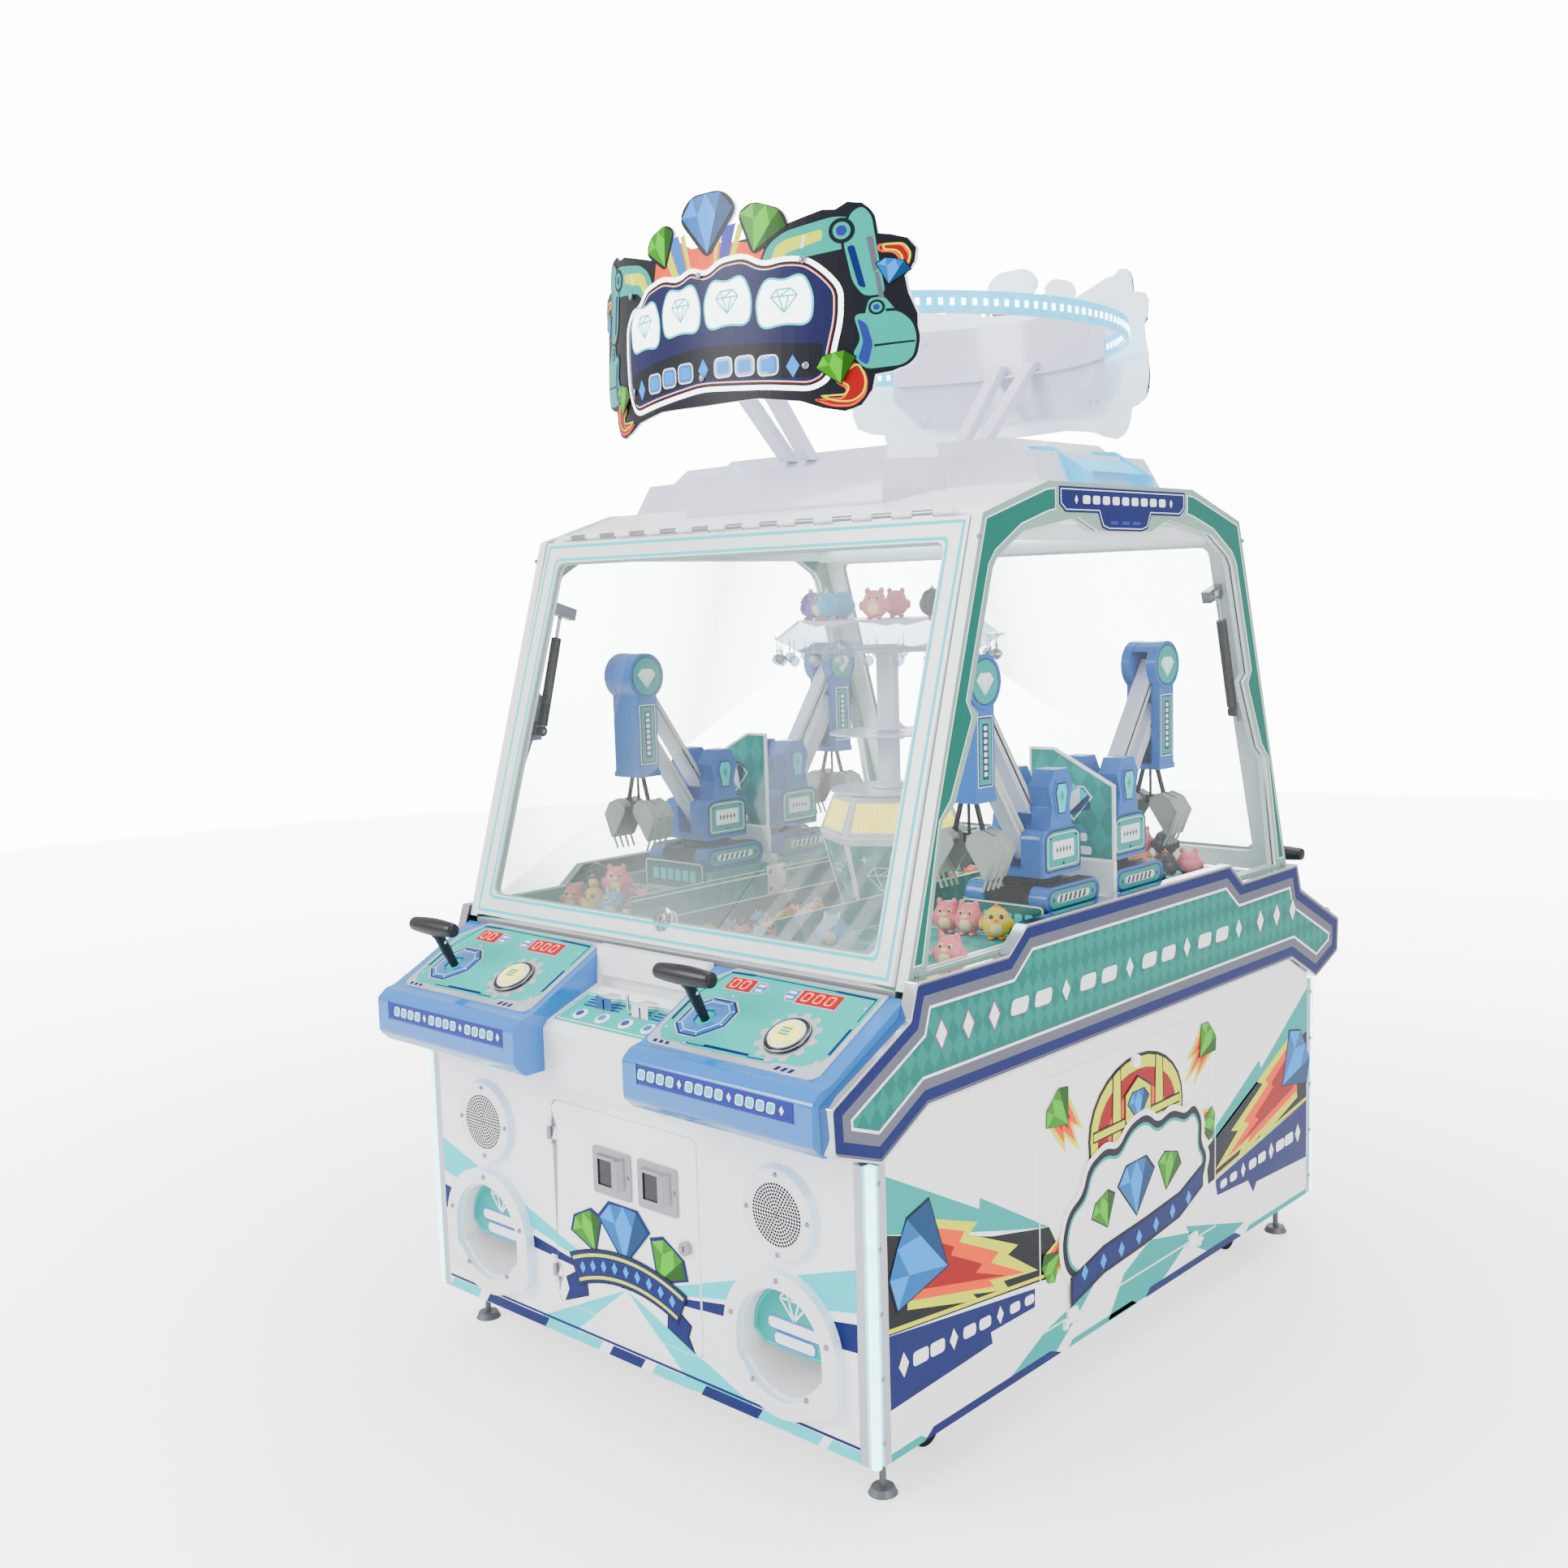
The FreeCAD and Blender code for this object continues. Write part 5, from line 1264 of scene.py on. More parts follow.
def gem_plate(piece, u, v):
    """Faceted eight-sided plate under the joystick, with a round opening for its shaft."""
    def octagon(scale):
        corners = [(-50, -24), (-26, -44), (14, -44), (52, -8), (52, 30), (30, 50), (-20, 50), (-50, 20)]
        return [(u + a * scale, v + b * scale) for a, b in corners]

    opening = circle(u, v, 22, 8, -2.6)
    piece.add(ring(octagon(1.1), octagon(1.02), 0.3, 1.1), "silver_border")
    piece.add(ring(octagon(1.03), octagon(0.95), 0.3, 1.5), "print_navy")
    levels = ((0.96, 1.6, 0.8, 3.4, "gem_blue_mid"), (0.8, 3.4, 0.58, 4.4, "console_blue"))
    for outer, low, inner, high, finish in levels:
        rim, lip = octagon(outer), octagon(inner)
        points = [(a, b, 0.3) for a, b in rim] + [(a, b, 0.3) for a, b in lip]
        points += [(a, b, low) for a, b in rim] + [(a, b, high) for a, b in lip]
        faces = []
        for i in range(8):
            j = (i + 1) % 8
            faces += [[i, j, 8 + j, 8 + i], [16 + i, 24 + i, 24 + j, 16 + j], [i, 16 + i, 16 + j, j],
                      [8 + i, 8 + j, 24 + j, 24 + i]]
        piece.add((points, faces), finish)
    piece.add(ring(octagon(0.58), opening, 0.3, 4.2), "console_blue")
    for i in range(8):
        a, b = octagon(0.93)[i], octagon(0.8)[i]
        c, d = octagon(0.8)[i], octagon(0.8)[(i + 1) % 8]
        piece.stroke(a, b, 1.6, "print_white", 0, 2.6)
        piece.stroke(c, d, 1.4, "print_white", 0, 3.4)


def handle(piece, u, v):
    """Turned T-grip: a long barrel with softened ends and end caps, over a collar on the shaft."""
    profile = [(0, -68.5), (9, -68.5), (12.6, -67), (14.2, -63), (15.4, -50), (16.8, -30), (17.6, -10),
               (17.8, 0)]
    profile += [(radius, -n) for radius, n in profile[-2::-1]]
    barrel = moved_by(Matrix.Translation((u, v, 100)) @ Matrix.Rotation(radians(90), 4, "Y"),
                      lathe(profile, 36))
    piece.add(barrel, "handle_black", True)
    shaft = lathe([(0, -20), (8.2, -20), (8.4, 14), (10.4, 40), (10.4, 76), (13, 84), (14.2, 92), (0, 92)],
                  28, (u, v))
    piece.add(shaft, "handle_black", True)
    piece.add(moved_by(Matrix.Translation((u + 11, v, 62)) @ Matrix.Rotation(radians(90), 4, "Y"),
                       lathe([(0, -1), (3.4, -1), (3.4, 0.8), (2.2, 1.8), (0, 2.0)], 16)), "chrome", True)


def button_cap(piece, u, v):
    """Domed translucent cap with a printed rim and a generic mark."""
    dome = [(0, 14.5), (27.6, 14.5), (27.8, 15.4), (26.6, 16.3), (20, 17.0), (10, 17.35), (0, 17.4)]
    piece.add(lathe(dome, 48, (u, v)), "cap_yellow", True)
    piece.add(ring(circle(u, v, 25.6, 48), circle(u, v, 22.4, 48), 15.6, 16.95), "print_white")
    for index in range(3):
        bar = rounded(rect(u - 11, v - 9 + index * 7, u + 11, v - 5 + index * 7), 2)
        piece.add(prism(bar, 16.6, 17.9), "print_teal")


def consoles():
    """Prints, joystick grips, button caps and labels; the front's right console is the rear's left one."""
    for name, shift in (("right", 0.0), ("left", LEFT_SHIFT)):
        printed = Piece(f"front_{name}_plate_print", lambda u, v, n: on_slope(u, v, PLATE_TOP + n))
        plate_print(printed, shift)
        thing = printed.build("machine_frame", "plate_teal")
        again(thing, f"rear_{name}_plate_print", "machine_frame")
        jewel = Piece(f"front_{name}_gem_plate", lambda u, v, n: on_slope(u, v, PLATE_TOP + n))
        gem_plate(jewel, STICK_SPOT[0] + shift, STICK_SPOT[1])
        thing = jewel.build("machine_frame", "plate_teal")
        again(thing, f"rear_{name}_gem_plate", "machine_frame")
        other = {"right": "left", "left": "right"}[name]
        grip = Piece(f"front_{name}_joystick_grip", on_slope)
        handle(grip, STICK_SPOT[0] + shift, STICK_SPOT[1])
        thing = grip.build(f"front_{name}_joystick", "handle_black")
        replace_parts(thing, f"front_{name}_joystick")
        thing = again(thing, f"rear_{other}_joystick_grip", f"rear_{other}_joystick")
        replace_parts(thing, f"rear_{other}_joystick")
        cap = Piece(f"front_{name}_button_cap", on_slope)
        button_cap(cap, BUTTON_SPOT[0] + shift, BUTTON_SPOT[1])
        thing = cap.build(f"front_{name}_push_button", "button_yellow")
        again(thing, f"rear_{other}_button_cap", f"rear_{other}_push_button")
        label = Piece(f"front_{name}_console_label", lambda u, v, n: (u + shift, CONSOLE_Y - n, v))
        console_label(label)
        thing = label.build("machine_frame", "bezel_blue")
        again(thing, f"rear_{name}_console_label", "machine_frame")
    centre_plate()


def console_label(piece):
    """Navy label in the console's recess; white marks stand where the original has words."""
    piece.film(rect(171.5, 694.5, 548, 727.5), "label_navy", 0)
    piece.line(rect(174, 697, 545.5, 725), 2, "print_violet", 1)
    for index in range(15):
        u = 197 + index * 23.2
        if index % 5 == 4:
            diamond(piece, u, 711, 5, 8, "print_white", 1)
        else:
            bar = rounded([(u - 9, 703), (u + 6, 703), (u + 9, 719), (u - 6, 719)], 4)
            piece.film(inset(bar, -1.4), "print_white", 1)
            piece.film(inset(bar, 1), "line_turquoise", 2)


CENTRE_SLOPE = (-844.0, 736.0, -720.0, 782.0)


def on_centre(u, v, n):
    """Centre console's sloping top: v up its slope from the front edge."""
    y0, z0, y1, z1 = CENTRE_SLOPE
    length = hypot(y1 - y0, z1 - z0)
    c, s = (y1 - y0) / length, (z1 - z0) / length
    return u, y0 + v * c - n * s, z0 + v * s + n * c


def centre_plate():
    """Teal instruction plate with generic pictograms and screws."""
    piece = Piece("front_centre_plate", on_centre)
    plate = rounded(rect(-140, 6, 140, 98), 8)
    piece.add(prism(plate, 0.0, 1.6), "plate_teal")
    piece.line(inset(rect(-140, 6, 140, 98), 4), 2, "print_white", 0, 1.6)
    for column, finish in ((-92, "print_violet"), (-30, "print_white"), (34, "print_violet"),
                           (94, "print_white")):
        piece.film(circle(column, 34, 15, 20), "print_white", 0, 1.6)
        piece.film(circle(column - 3, 36, 9, 14), finish if finish != "print_white" else "console_blue", 1,
                   1.6)
        for row in (62, 71, 80):
            piece.film(rounded(rect(column - 20, row - 2.5, column + 18, row + 2.5), 2), "label_navy", 0,
                       1.6)
    for u in (-134, 134):
        for v in (12, 92):
            screw(piece, u, v, 1.6, 3.2)
    thing = piece.build("machine_frame", "plate_teal")
    again(thing, "rear_centre_plate", "machine_frame")


# ---------------------------------------------------------------- glazed house
def door_lines():
    """Two turquoise lines round the glass door, its edge seal, and the round chrome lock at its bottom
    middle, whose keyway is a black film: painted shade of the slot.
    """
    piece = Piece("front_door_print", on_door)
    for outer, width, radius in ((7, 6, 4), (36, 6, 16)):
        frame_outline = rounded(rect(-DOOR_HALF + outer, outer, DOOR_HALF - outer, DOOR_LENGTH - outer),
                                radius, 6)
        inner = rounded(rect(-DOOR_HALF + outer + width, outer + width, DOOR_HALF - outer - width,
                             DOOR_LENGTH - outer - width), max(2, radius - width / 2), 6)
        piece.add(ring(frame_outline, inner, 0, FILM), "line_turquoise")
    seal_out = rounded(rect(-DOOR_HALF + 44, 44, DOOR_HALF - 44, DOOR_LENGTH - 44), 21, 6)
    seal_in = rounded(rect(-DOOR_HALF + 49, 49, DOOR_HALF - 49, DOOR_LENGTH - 49), 17, 6)
    piece.add(ring(seal_out, seal_in, -7.8, -4.5), "frame_green")
    profile = [(0, 4.6), (7.6, 4.6), (9.2, 3.6), (9.2, 0), (24.0, 0), (24.0, -1), (0, -1)]
    piece.add(lathe(profile, 36, (0, 49)), "chrome", True)
    # The lock's keyway is a black film: painted shade of the slot.
    piece.add(prism(rect(-1, 44, 1, 54), 4.4, 5.2), "print_black")
    thing = piece.build("front_glass_door", "door_glass")
    again(thing, "rear_door_print", "rear_glass_door")


def side_frame_art():
    """Teal stripe on each leg and shoulder, and the blank name plate in the middle."""
    piece = Piece("right_frame_print", lambda u, v, n: (HOUSE_X + n, u, v))
    stripe = [(238, 1688), (262, 1686), (446, 1632), (600, 1130), (667, 902), (647, 902), (594, 1134),
              (562, 1166),
              (498, 1300), (514, 1328), (444, 1556), (424, 1580), (345, 1626), (262, 1650), (238, 1654)]
    for side in (1, -1):
        outline = [(side * y, z) for y, z in stripe]
        piece.film(inset(outline, -2.5), "print_white", 0)
        piece.film(outline, "stripe_green", 1)
    plate = [(-225, 1694), (225, 1694), (225, 1662), (205, 1648), (95, 1648), (82, 1622), (60, 1616),
             (-60, 1616),
             (-82, 1622), (-95, 1648), (-205, 1648), (-225, 1662)]
    piece.add(prism(plate, 0, 1.2), "print_navy")
    piece.line(inset(plate, 4), 1.6, "print_white", 0, 1.2)
    for index in range(11):
        u = -170 + index * 34
        if index in (0, 10):
            diamond(piece, u, 1671, 5, 8, "print_white", 0, 1.2)
        else:
            piece.film(rounded(rect(u - 12, 1664, u + 12, 1679), 5), "print_white", 0, 1.2)
    for y in (-40, 0, 40):
        piece.film(rounded(rect(y - 14, 1628, y + 14, 1634), 2), "print_violet", 0, 1.2)
    for y, z in ((662, 886), (470, 1602), (-662, 886), (-470, 1602)):
        screw(piece, y, z, 0, 5, "steel")
    thing = piece.build("machine_frame", "side_frame_green")
    again(thing, "left_frame_print", "machine_frame")


def roof_details():
    """LED strips under the roof, and beam screws."""
    piece = Piece("roof_lights")
    for side in (-1, 1):
        low, high = sorted((side * 385, side * 393))
        piece.add(prism(rounded(rect(-500, low, 500, high), 2), 1628, 1633), "led_white")
        for index in range(9):
            y = -360 + index * 90
            bolt = moved_by(Matrix.Translation((side * 564, y, 1640)) @ Matrix.Rotation(side * -pi / 2, 4,
                                                                                        "Y"),
                            lathe([(0, 0), (6, 0), (6, 2), (3.5, 3.6), (0, 3.8)], 12))
            piece.add(bolt, "steel", True)
    piece.build("machine_frame", "roof_white")


def hoop_lights():
    """Chips of the LED strips on the hoop's outer wall, and on its inner wall at the sides."""
    piece = Piece("hoop_lights")
    count = 150
    for index in range(count):
        angle = 2 * pi * index / count
        for radius in (HOOP_RADIUS - 5.4, HOOP_RADIUS + 4.2):
            if radius < HOOP_RADIUS and abs(cos(angle)) * HOOP_RADIUS < 300:
                continue
            turn = Matrix.Rotation(angle, 4, "Z") @ Matrix.Translation((radius, 0, HOOP_Z))
            chip = prism(rounded(rect(-0.2, -4, 1.4, 4), 0.5, 2), -6, 6)
            piece.add(moved_by(turn, chip), "led_white")
    piece.build("machine_frame", "topper_silver")


def corner_details():
    """Screws down the corner posts and round the side panels."""
    piece = Piece("panel_screws")
    for sx in (-1, 1):
        for sy in (-1, 1):
            for index in range(5):
                z = 130 + index * 110
                spot = Matrix.Translation((sx * 600, sy * 786, z)) @ Matrix.Rotation(sx * pi / 2, 4, "Y")
                piece.add(moved_by(spot, lathe([(0, -0.3), (4.4, -0.3), (4.4, 0.8), (2.8, 2.0), (0, 2.2)],
                                               14)),
                          "steel", True)
    piece.build("machine_frame", "frame_steel")


# ---------------------------------------------------------------- topper signs
SIGN_HALF = [(0, 2150), (150, 2162), (262, 2190), (285, 2188), (305, 2199), (330, 2195), (346, 2175),
             (352, 2141),
             (372, 2138), (398, 2130), (411, 2112), (408, 2088), (393, 2066), (398, 2036), (411, 2000),
             (411, 1950),
             (400, 1915), (372, 1902), (345, 1898), (340, 1872), (322, 1846), (293, 1837), (255, 1845),
             (215, 1860),
             (128, 1872), (0, 1870)]
SIGN_GEMS = ((22, 2213, 68, 0, "blue"), (146, 2184, 52, -20, "green"), (-112, 2186, 46, 16, "green"))


def on_sign(u, v, n):
    """Curved sign plate: v is the height."""
    radius = SIGN_RADIUS + n
    return u, SIGN_CENTRE_Y - sqrt(max(0.0, radius * radius - u * u)), v


def sign_arm(piece, side):
    """Generic digger arm: boom, joint, stick, rod and bucket."""
    def flip(points):
        return [(side * u, v) for u, v in points]

    parts = ((rounded([(143, 2110), (160, 2142), (192, 2160), (285, 2176), (318, 2170), (312, 2122),
                       (290, 2118),
                       (200, 2108), (180, 2085)], 14), "sign_teal", 2),
             (rounded([(163, 2112), (174, 2136), (194, 2146), (262, 2156), (262, 2138), (194, 2122),
                       (180, 2104)], 6),
              "print_yellow", 3),
             ([(222, 2127), (228, 2128), (232, 2150), (226, 2149)], "print_white", 4),
             (rounded([(310, 2178), (330, 2190), (345, 2172), (353, 2110), (364, 2036), (330, 2034),
                       (312, 2060),
                       (298, 2130)], 12), "sign_teal", 4),
             (rounded([(304, 2122), (316, 2124), (334, 2048), (322, 2052)], 5), "print_navy", 5),
             (rounded([(336, 2136), (346, 2136), (354, 2080), (346, 2074)], 4), "slate_silver", 5),
             ([(348, 2074), (354, 2074), (362, 2030), (354, 2030)], "slate_silver", 5),
             (rounded([(330, 2000), (338, 2030), (362, 2032), (384, 2000)], 8), "sign_teal", 4),
             (rounded([(312, 2004), (384, 2006), (404, 1986), (410, 1958), (404, 1926), (388, 1912),
                       (330, 1908),
                       (308, 1934), (324, 1960)], 12), "sign_teal", 5),
             (rounded([(318, 1998), (334, 1986), (343, 1951), (334, 1914), (318, 1926), (328, 1956)], 8),
              "label_navy", 6),
             ([(345, 1950), (407, 1954), (407, 1951), (345, 1946)], "print_black", 6))
    for outline, finish, level in parts:
        outline = flip(outline)
        if finish == "sign_teal":
            piece.film(inset(outline, -5), "print_black", level - 1)
        piece.film(outline, finish, level)
    for u, v, sizes in ((296, 2150, (22, 15, 9)), (350, 2014, (13, 9, 5))):
        for size, finish, level in zip(sizes, ("print_black", "sign_teal", "label_navy"), (6, 7, 8)):
            piece.film(circle(side * u, v, size, 24), finish, level)


def sign_loops(piece, side):
    """Orange and yellow swooshes behind the small gems."""
    high = [(352, 2122), (392, 2122), (404, 2100), (400, 2082), (384, 2062), (376, 2070), (388, 2090),
            (378, 2106),
            (354, 2108)]
    low = [(318, 1926), (334, 1892), (330, 1862), (308, 1844), (272, 1846), (236, 1862), (262, 1862),
           (292, 1862),
           (298, 1876), (276, 1890), (290, 1906)]
    for outline in (high, low):
        outline = [(side * u, v) for u, v in rounded(outline, 14)]
        piece.film(inset(outline, -5), "print_black", 2)
        piece.film(outline, "print_orange", 3)
        piece.film(inset(outline, 4), "print_red", 4)
        middle = Vector((sum(u for u, _ in outline), sum(v for _, v in outline))) / len(outline)
        streak = [(middle.x + (u - middle.x) * 0.86 + 4, middle.y + (v - middle.y) * 0.86 + 4) for u,
                  v in outline]
        piece.line(streak, 3, "print_yellow", 5)
    gem(piece, side * 376, 2078, 26, -14 * side, "blue", 7, rim=0.1)
    gem(piece, side * 284, 1918, 34, 12 * side, "green", 22, rim=0.08)


PLAQUE = [(-262, 1986), (-258, 2050), (-226, 2080), (-196, 2084), (-168, 2112), (-104, 2124), (-60, 2112),
          (-22, 2128), (16, 2112), (52, 2132), (110, 2134), (150, 2112), (190, 2118), (236, 2112),
          (270, 2086),
          (298, 2052), (296, 1996), (284, 1950), (272, 1892), (238, 1876), (150, 1886), (0, 1896),
          (-140, 1882),
          (-226, 1872), (-256, 1916)]


def sign_plaque(piece):
    """Lit white cloud with a blank lettering panel and a row of gems in place of words."""
    cloud = rounded(PLAQUE, 26)
    piece.film(cloud, "sign_lit", 9)
    for depth, finish, level in ((9, "print_black", 10), (13, "print_red", 11), (15, "print_white", 12),
                                 (17, "dark_violet", 13)):
        piece.film(inset(cloud, depth), finish, level)
    low = [(-230, 1896), (-130, 1906), (0, 1918), (140, 1908), (250, 1900), (262, 1958), (140, 1970),
           (0, 1978),
           (-130, 1968), (-236, 1954)]
    piece.film(rounded(low, 10), "print_black", 14)
    for index in range(4):
        u = -176 + index * 122
        v = 2040 + (10 if index in (1, 2) else -2)
        puff = rounded([(u - 50, v - 44), (u - 56, v + 8), (u - 34, v + 44), (u, v + 34), (u + 36, v + 46),
                        (u + 54, v + 6), (u + 48, v - 44), (u, v - 36)], 22)
        piece.film(inset(puff, -4), "line_turquoise", 14)
        piece.film(puff, "sign_lit", 15)
        gem_lines(piece, u, v + 6, 26, 3, "line_turquoise", 16)
    for index in range(9):
        u = -196 + index * 50
        v = 1936 - 0.00034 * (u - 10) ** 2
        if index % 4 == 0:
            diamond(piece, u, v, 13, 20, "gem_blue_light", 16)
        else:
            bar = rounded(rect(u - 19, v - 16, u + 19, v + 16), 10)
            piece.film(inset(bar, -3), "print_white", 15)
            piece.film(bar, "console_blue", 16)
            piece.film(inset(bar, 5), "gem_blue_light", 17)


def front_sign():
    edges = [-390 + 26 * i for i in range(31)]
    piece = Piece("front_sign", on_sign, edges)
    body = closed_outline(SIGN_HALF)
    piece.add(prism(body, -5.5, 0.0), "sign_back")
    for u, v, size, turn, colour in SIGN_GEMS:
        piece.add(prism(gem_outline(u, v - 6, size * 1.12, turn), -5.4, 0.0), "sign_back")
    piece.film(inset(body, 0.5), "print_black", 0)
    rays = [(-150, 2070), (-128, 2160), (-86, 2196), (-20, 2160), (60, 2160), (130, 2150), (170, 2120),
            (150, 2070)]
    piece.film(rays, "print_orange", 1)
    for u0, u1, finish in ((-118, -92, "print_yellow"), (-88, -56, "console_blue"),
                           (-50, -38, "print_yellow"),
                           (44, 56, "print_yellow"), (62, 92, "print_violet"), (96, 112, "print_yellow")):
        piece.film([(u0 * 0.5 + 6, 2072), (u1 * 0.5 + 6, 2072), (u1, 2190), (u0, 2186)], finish, 2)
    for side in (-1, 1):
        sign_arm(piece, side)
        sign_loops(piece, side)
    for u, v, size, turn, colour in SIGN_GEMS:
        piece.film(gem_outline(u, v - 6, size * 1.12, turn), "print_black", 3)
        gem(piece, u, v - 4, size * 0.96, turn, colour, 4, None)
    sign_plaque(piece)
    for u in (-229, 0, 229):
        for v in (1922, 2107):
            screw(piece, u, v, 17 * LAYER + FILM, 7, "steel")
    thing = piece.build("machine_frame", "sign_colour")
    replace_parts(thing, "sign_panels")
    again(thing, "rear_sign", "machine_frame")


# ---------------------------------------------------------------- play field
def deck_art():
    """Printed plates, divider borders, rail edges and the white corner brackets' bolts."""
    piece = Piece("deck_print")
    for end in (0.0, pi):
        turn = Matrix.Rotation(end, 4, "Z")
        for side in (-1, 1):
            facing = turn @ Matrix.Translation((side * 452, -226.2, 0)) @ Matrix.Rotation(pi / 2, 4, "X")
            low = rounded(rect(-93, 861, 93, 924), 10)
            piece.add(moved_by(facing, ring(low, inset(low, 2.5), 0, FILM)), "print_white")
            for index in range(6):
                bar = rounded(rect(-68 + index * 24, 880, -50 + index * 24, 906), 5)
                piece.add(moved_by(facing, prism(bar, 0, FILM)), "line_turquoise")
            tray = turn @ Matrix.Translation((side * 387.5, -367, DECK_Z + 10))
            edge = rect(-172, -102, 172, 102)
            piece.add(moved_by(tray, ring(rounded(edge, 4), rounded(inset(edge, 3), 3), -0.2, 5)),
                      "shelf_clear")
            piece.add(moved_by(tray, ring(inset(edge, 8), inset(edge, 11), 0, FILM)), "print_white")
            divider(piece, turn, side)
            rail_art(piece, turn, side)
    piece.build("machine_frame", "deck_teal")


def divider(piece, turn, side):
    """White border and a large white gem on each face of a divider."""
    place = turn @ Matrix.Translation((0, -3, 0)) @ Matrix.Rotation(pi / 2, 4, "X")
    edge = [(side * 366, 979), (side * 562, 979), (side * 562, 1130), (side * 425, 1199),
            (side * 366, 1199)]
    if side < 0:
        edge = edge[::-1]
    art = Piece("divider")
    art.line(edge, 5, "print_white", 0)
    gem(art, side * 470, 1098, 42, -side * 30, "blue", 1, None)
    art.line([(side * 470 + u * 44, 1098 + v * 44) for u, v in
              [GEM_POINTS[key] for key in "DPCBA"]], 3, "print_white", 2)
    for index, width in ((0, 30), (1, 40)):
        bar = rounded(rect(side * 470 - width, 1016 - index * 26, side * 470 + width, 1032 - index * 26), 6)
        art.film(bar, "print_white", 0)
    points, faces = moved_by(place, (art.points, art.faces))
    start = len(piece.points)
    piece.points += points
    piece.faces += [[start + i for i in face] for face in faces]
    piece.names += [name.replace("gem_blue_light", "print_white").replace("gem_blue_mid", "line_turquoise")
                    for name in art.names]
    piece.smooth += art.smooth


def rail_art(piece, turn, side):
    """Two white lines along the pit rail, one low and one on top, and the bracket's four bolts."""
    for z0, z1 in ((864, 867), (912, 915)):
        low, high = sorted((side * 196.8, side * 197.1))
        bar = prism(rect(low - 0.3, -584, high, 0), z0, z1)
        piece.add(moved_by(turn, bar), "print_white")
    for y in (-182, -138):
        for z in (880, 918):
            bolt = Matrix.Translation((side * 193, y, z)) @ Matrix.Rotation(-side * pi / 2, 4, "Y")
            piece.add(moved_by(turn @ bolt, lathe([(0, 0), (5, 0), (5, 1.6), (2.6, 3.0), (0, 3.2)], 12)),
                      "steel", True)


def star(u, v, size):
    points = []
    for index in range(8):
        radius = size if index % 2 == 0 else size * 0.24
        angle = index * pi / 4
        points.append((u + radius * sin(angle), v + radius * cos(angle)))
    return points


def tower_art():
    """White edge strips, gem drawings and sparkles on the foot, lit ribbed windows, and fittings."""
    piece = Piece("tower_print")
    for side in range(6):
        turn = Matrix.Rotation(side * pi / 3, 4, "Z")
        foot_in, foot_out = 84 * cos(pi / 6), 152 * cos(pi / 6)
        lean = (foot_out - foot_in) / 245

        def on_foot(u, v, n):
            return turn @ Vector((foot_in + lean * (v - 740) + n, u, v))

        def on_tier(u, v, n):
            reach = 158 * cos(pi / 6) + (122 - 158) * cos(pi / 6) * (v - 1000) / 85
            return turn @ Vector((reach + n, u, v))

        art = Piece("face", on_foot)
        for edge in (-1, 1):
            low, high = 84 / 2, 152 / 2
            art.film([(edge * (low - 6), 742), (edge * low, 742), (edge * high, 984),
                      (edge * (high - 8), 984)],
                     "print_white", 0)
        gem_lines(art, 0, 915, 34, 1.8, "print_white", 0)
        for u, v, size in ((-38, 955, 11), (40, 872, 9), (-22, 828, 8), (20, 790, 6), (44, 950, 6)):
            art.film(star(u, v, size), "print_white", 0)
        gather(piece, art)
        window = Piece("window", on_tier)
        window.add(prism([(-66, 1014), (66, 1014), (56, 1074), (-56, 1074)], 0, 0.8), "window_yellow")
        for index in range(14):
            u = -58 + index * 9
            window.add(prism([(u, 1015), (u + 3, 1015), (u * 0.86 + 3, 1073), (u * 0.86, 1073)], 0.8, 1.8),
                       "cap_yellow")
        frame_edge = [(-72, 1006), (72, 1006), (60, 1080), (-60, 1080)]
        window.add(ring(frame_edge, inset(frame_edge, 7), 0, 3.2), "lavender_white")
        for u, v in ((-66, 1010), (66, 1010), (-56, 1077), (56, 1077)):
            screw(window, u, v, 3.0, 2.6)
        gather(piece, window)
    for z in (1096, 1222):
        piece.add(raised(lathe([(24.3, 0), (38, 0), (38, 3), (32, 8), (25.4, 16), (24.3, 16)], 32), z),
                  "lavender_white", True)
    for index in range(10):
        angle = 2 * pi * index / 10
        bar = lathe([(0, 0), (3.5, 0), (3.5, 2), (0, 3)], 10, (32 * cos(angle), 32 * sin(angle)))
        piece.add(raised(bar, 1224), "chrome", True)
    piece.build("machine_frame", "tower_teal")


def raised(solid, lift):
    points, faces = solid
    return [(x, y, z + lift) for x, y, z in points], faces


def gather(piece, art):
    """Add another piece's placed solids to this one."""
    start = len(piece.points)
    piece.points += [tuple(art.place(*p)) for p in art.points]
    piece.faces += [[start + i for i in face] for face in art.faces]
    piece.names += art.names
    piece.smooth += art.smooth


def pendants():
    """Cut crystals that hang round the canopy, each a faceted drop on a wire hook."""
    piece = Piece("canopy_crystals")
    for index in range(24):
        angle = 2 * pi * index / 24
        at = Matrix.Translation((236 * cos(angle), 236 * sin(angle), 1378)) @ Matrix.Rotation(angle, 4, "Z")
        drop = lathe([(0, -15), (12.4, -1), (12.4, 3), (7, 10), (0, 11.5)], 8)
        piece.add(moved_by(at, drop), "crystal")
        table = lathe([(0, 22), (4.5, 18), (0, 13)], 6)
        piece.add(moved_by(at, table), "crystal")
        hook = [(0, 0, 11), (0, 2.4, 14), (0, 0, 18), (0, -2.2, 22), (0, 0, 26), (0, 0, 44)]
        piece.add(moved_by(at, tube(hook, 0.9, 6)), "chrome", True)
    piece.build("machine_frame", "tower_teal")


# ---------------------------------------------------------------- excavators
def digger_place(corner):
    side, angle = CORNERS[corner]
    return Matrix.Rotation(angle, 4, "Z") @ Matrix.Translation(Vector((side * DIGGER_X, DIGGER_Y, 0)) * MM)


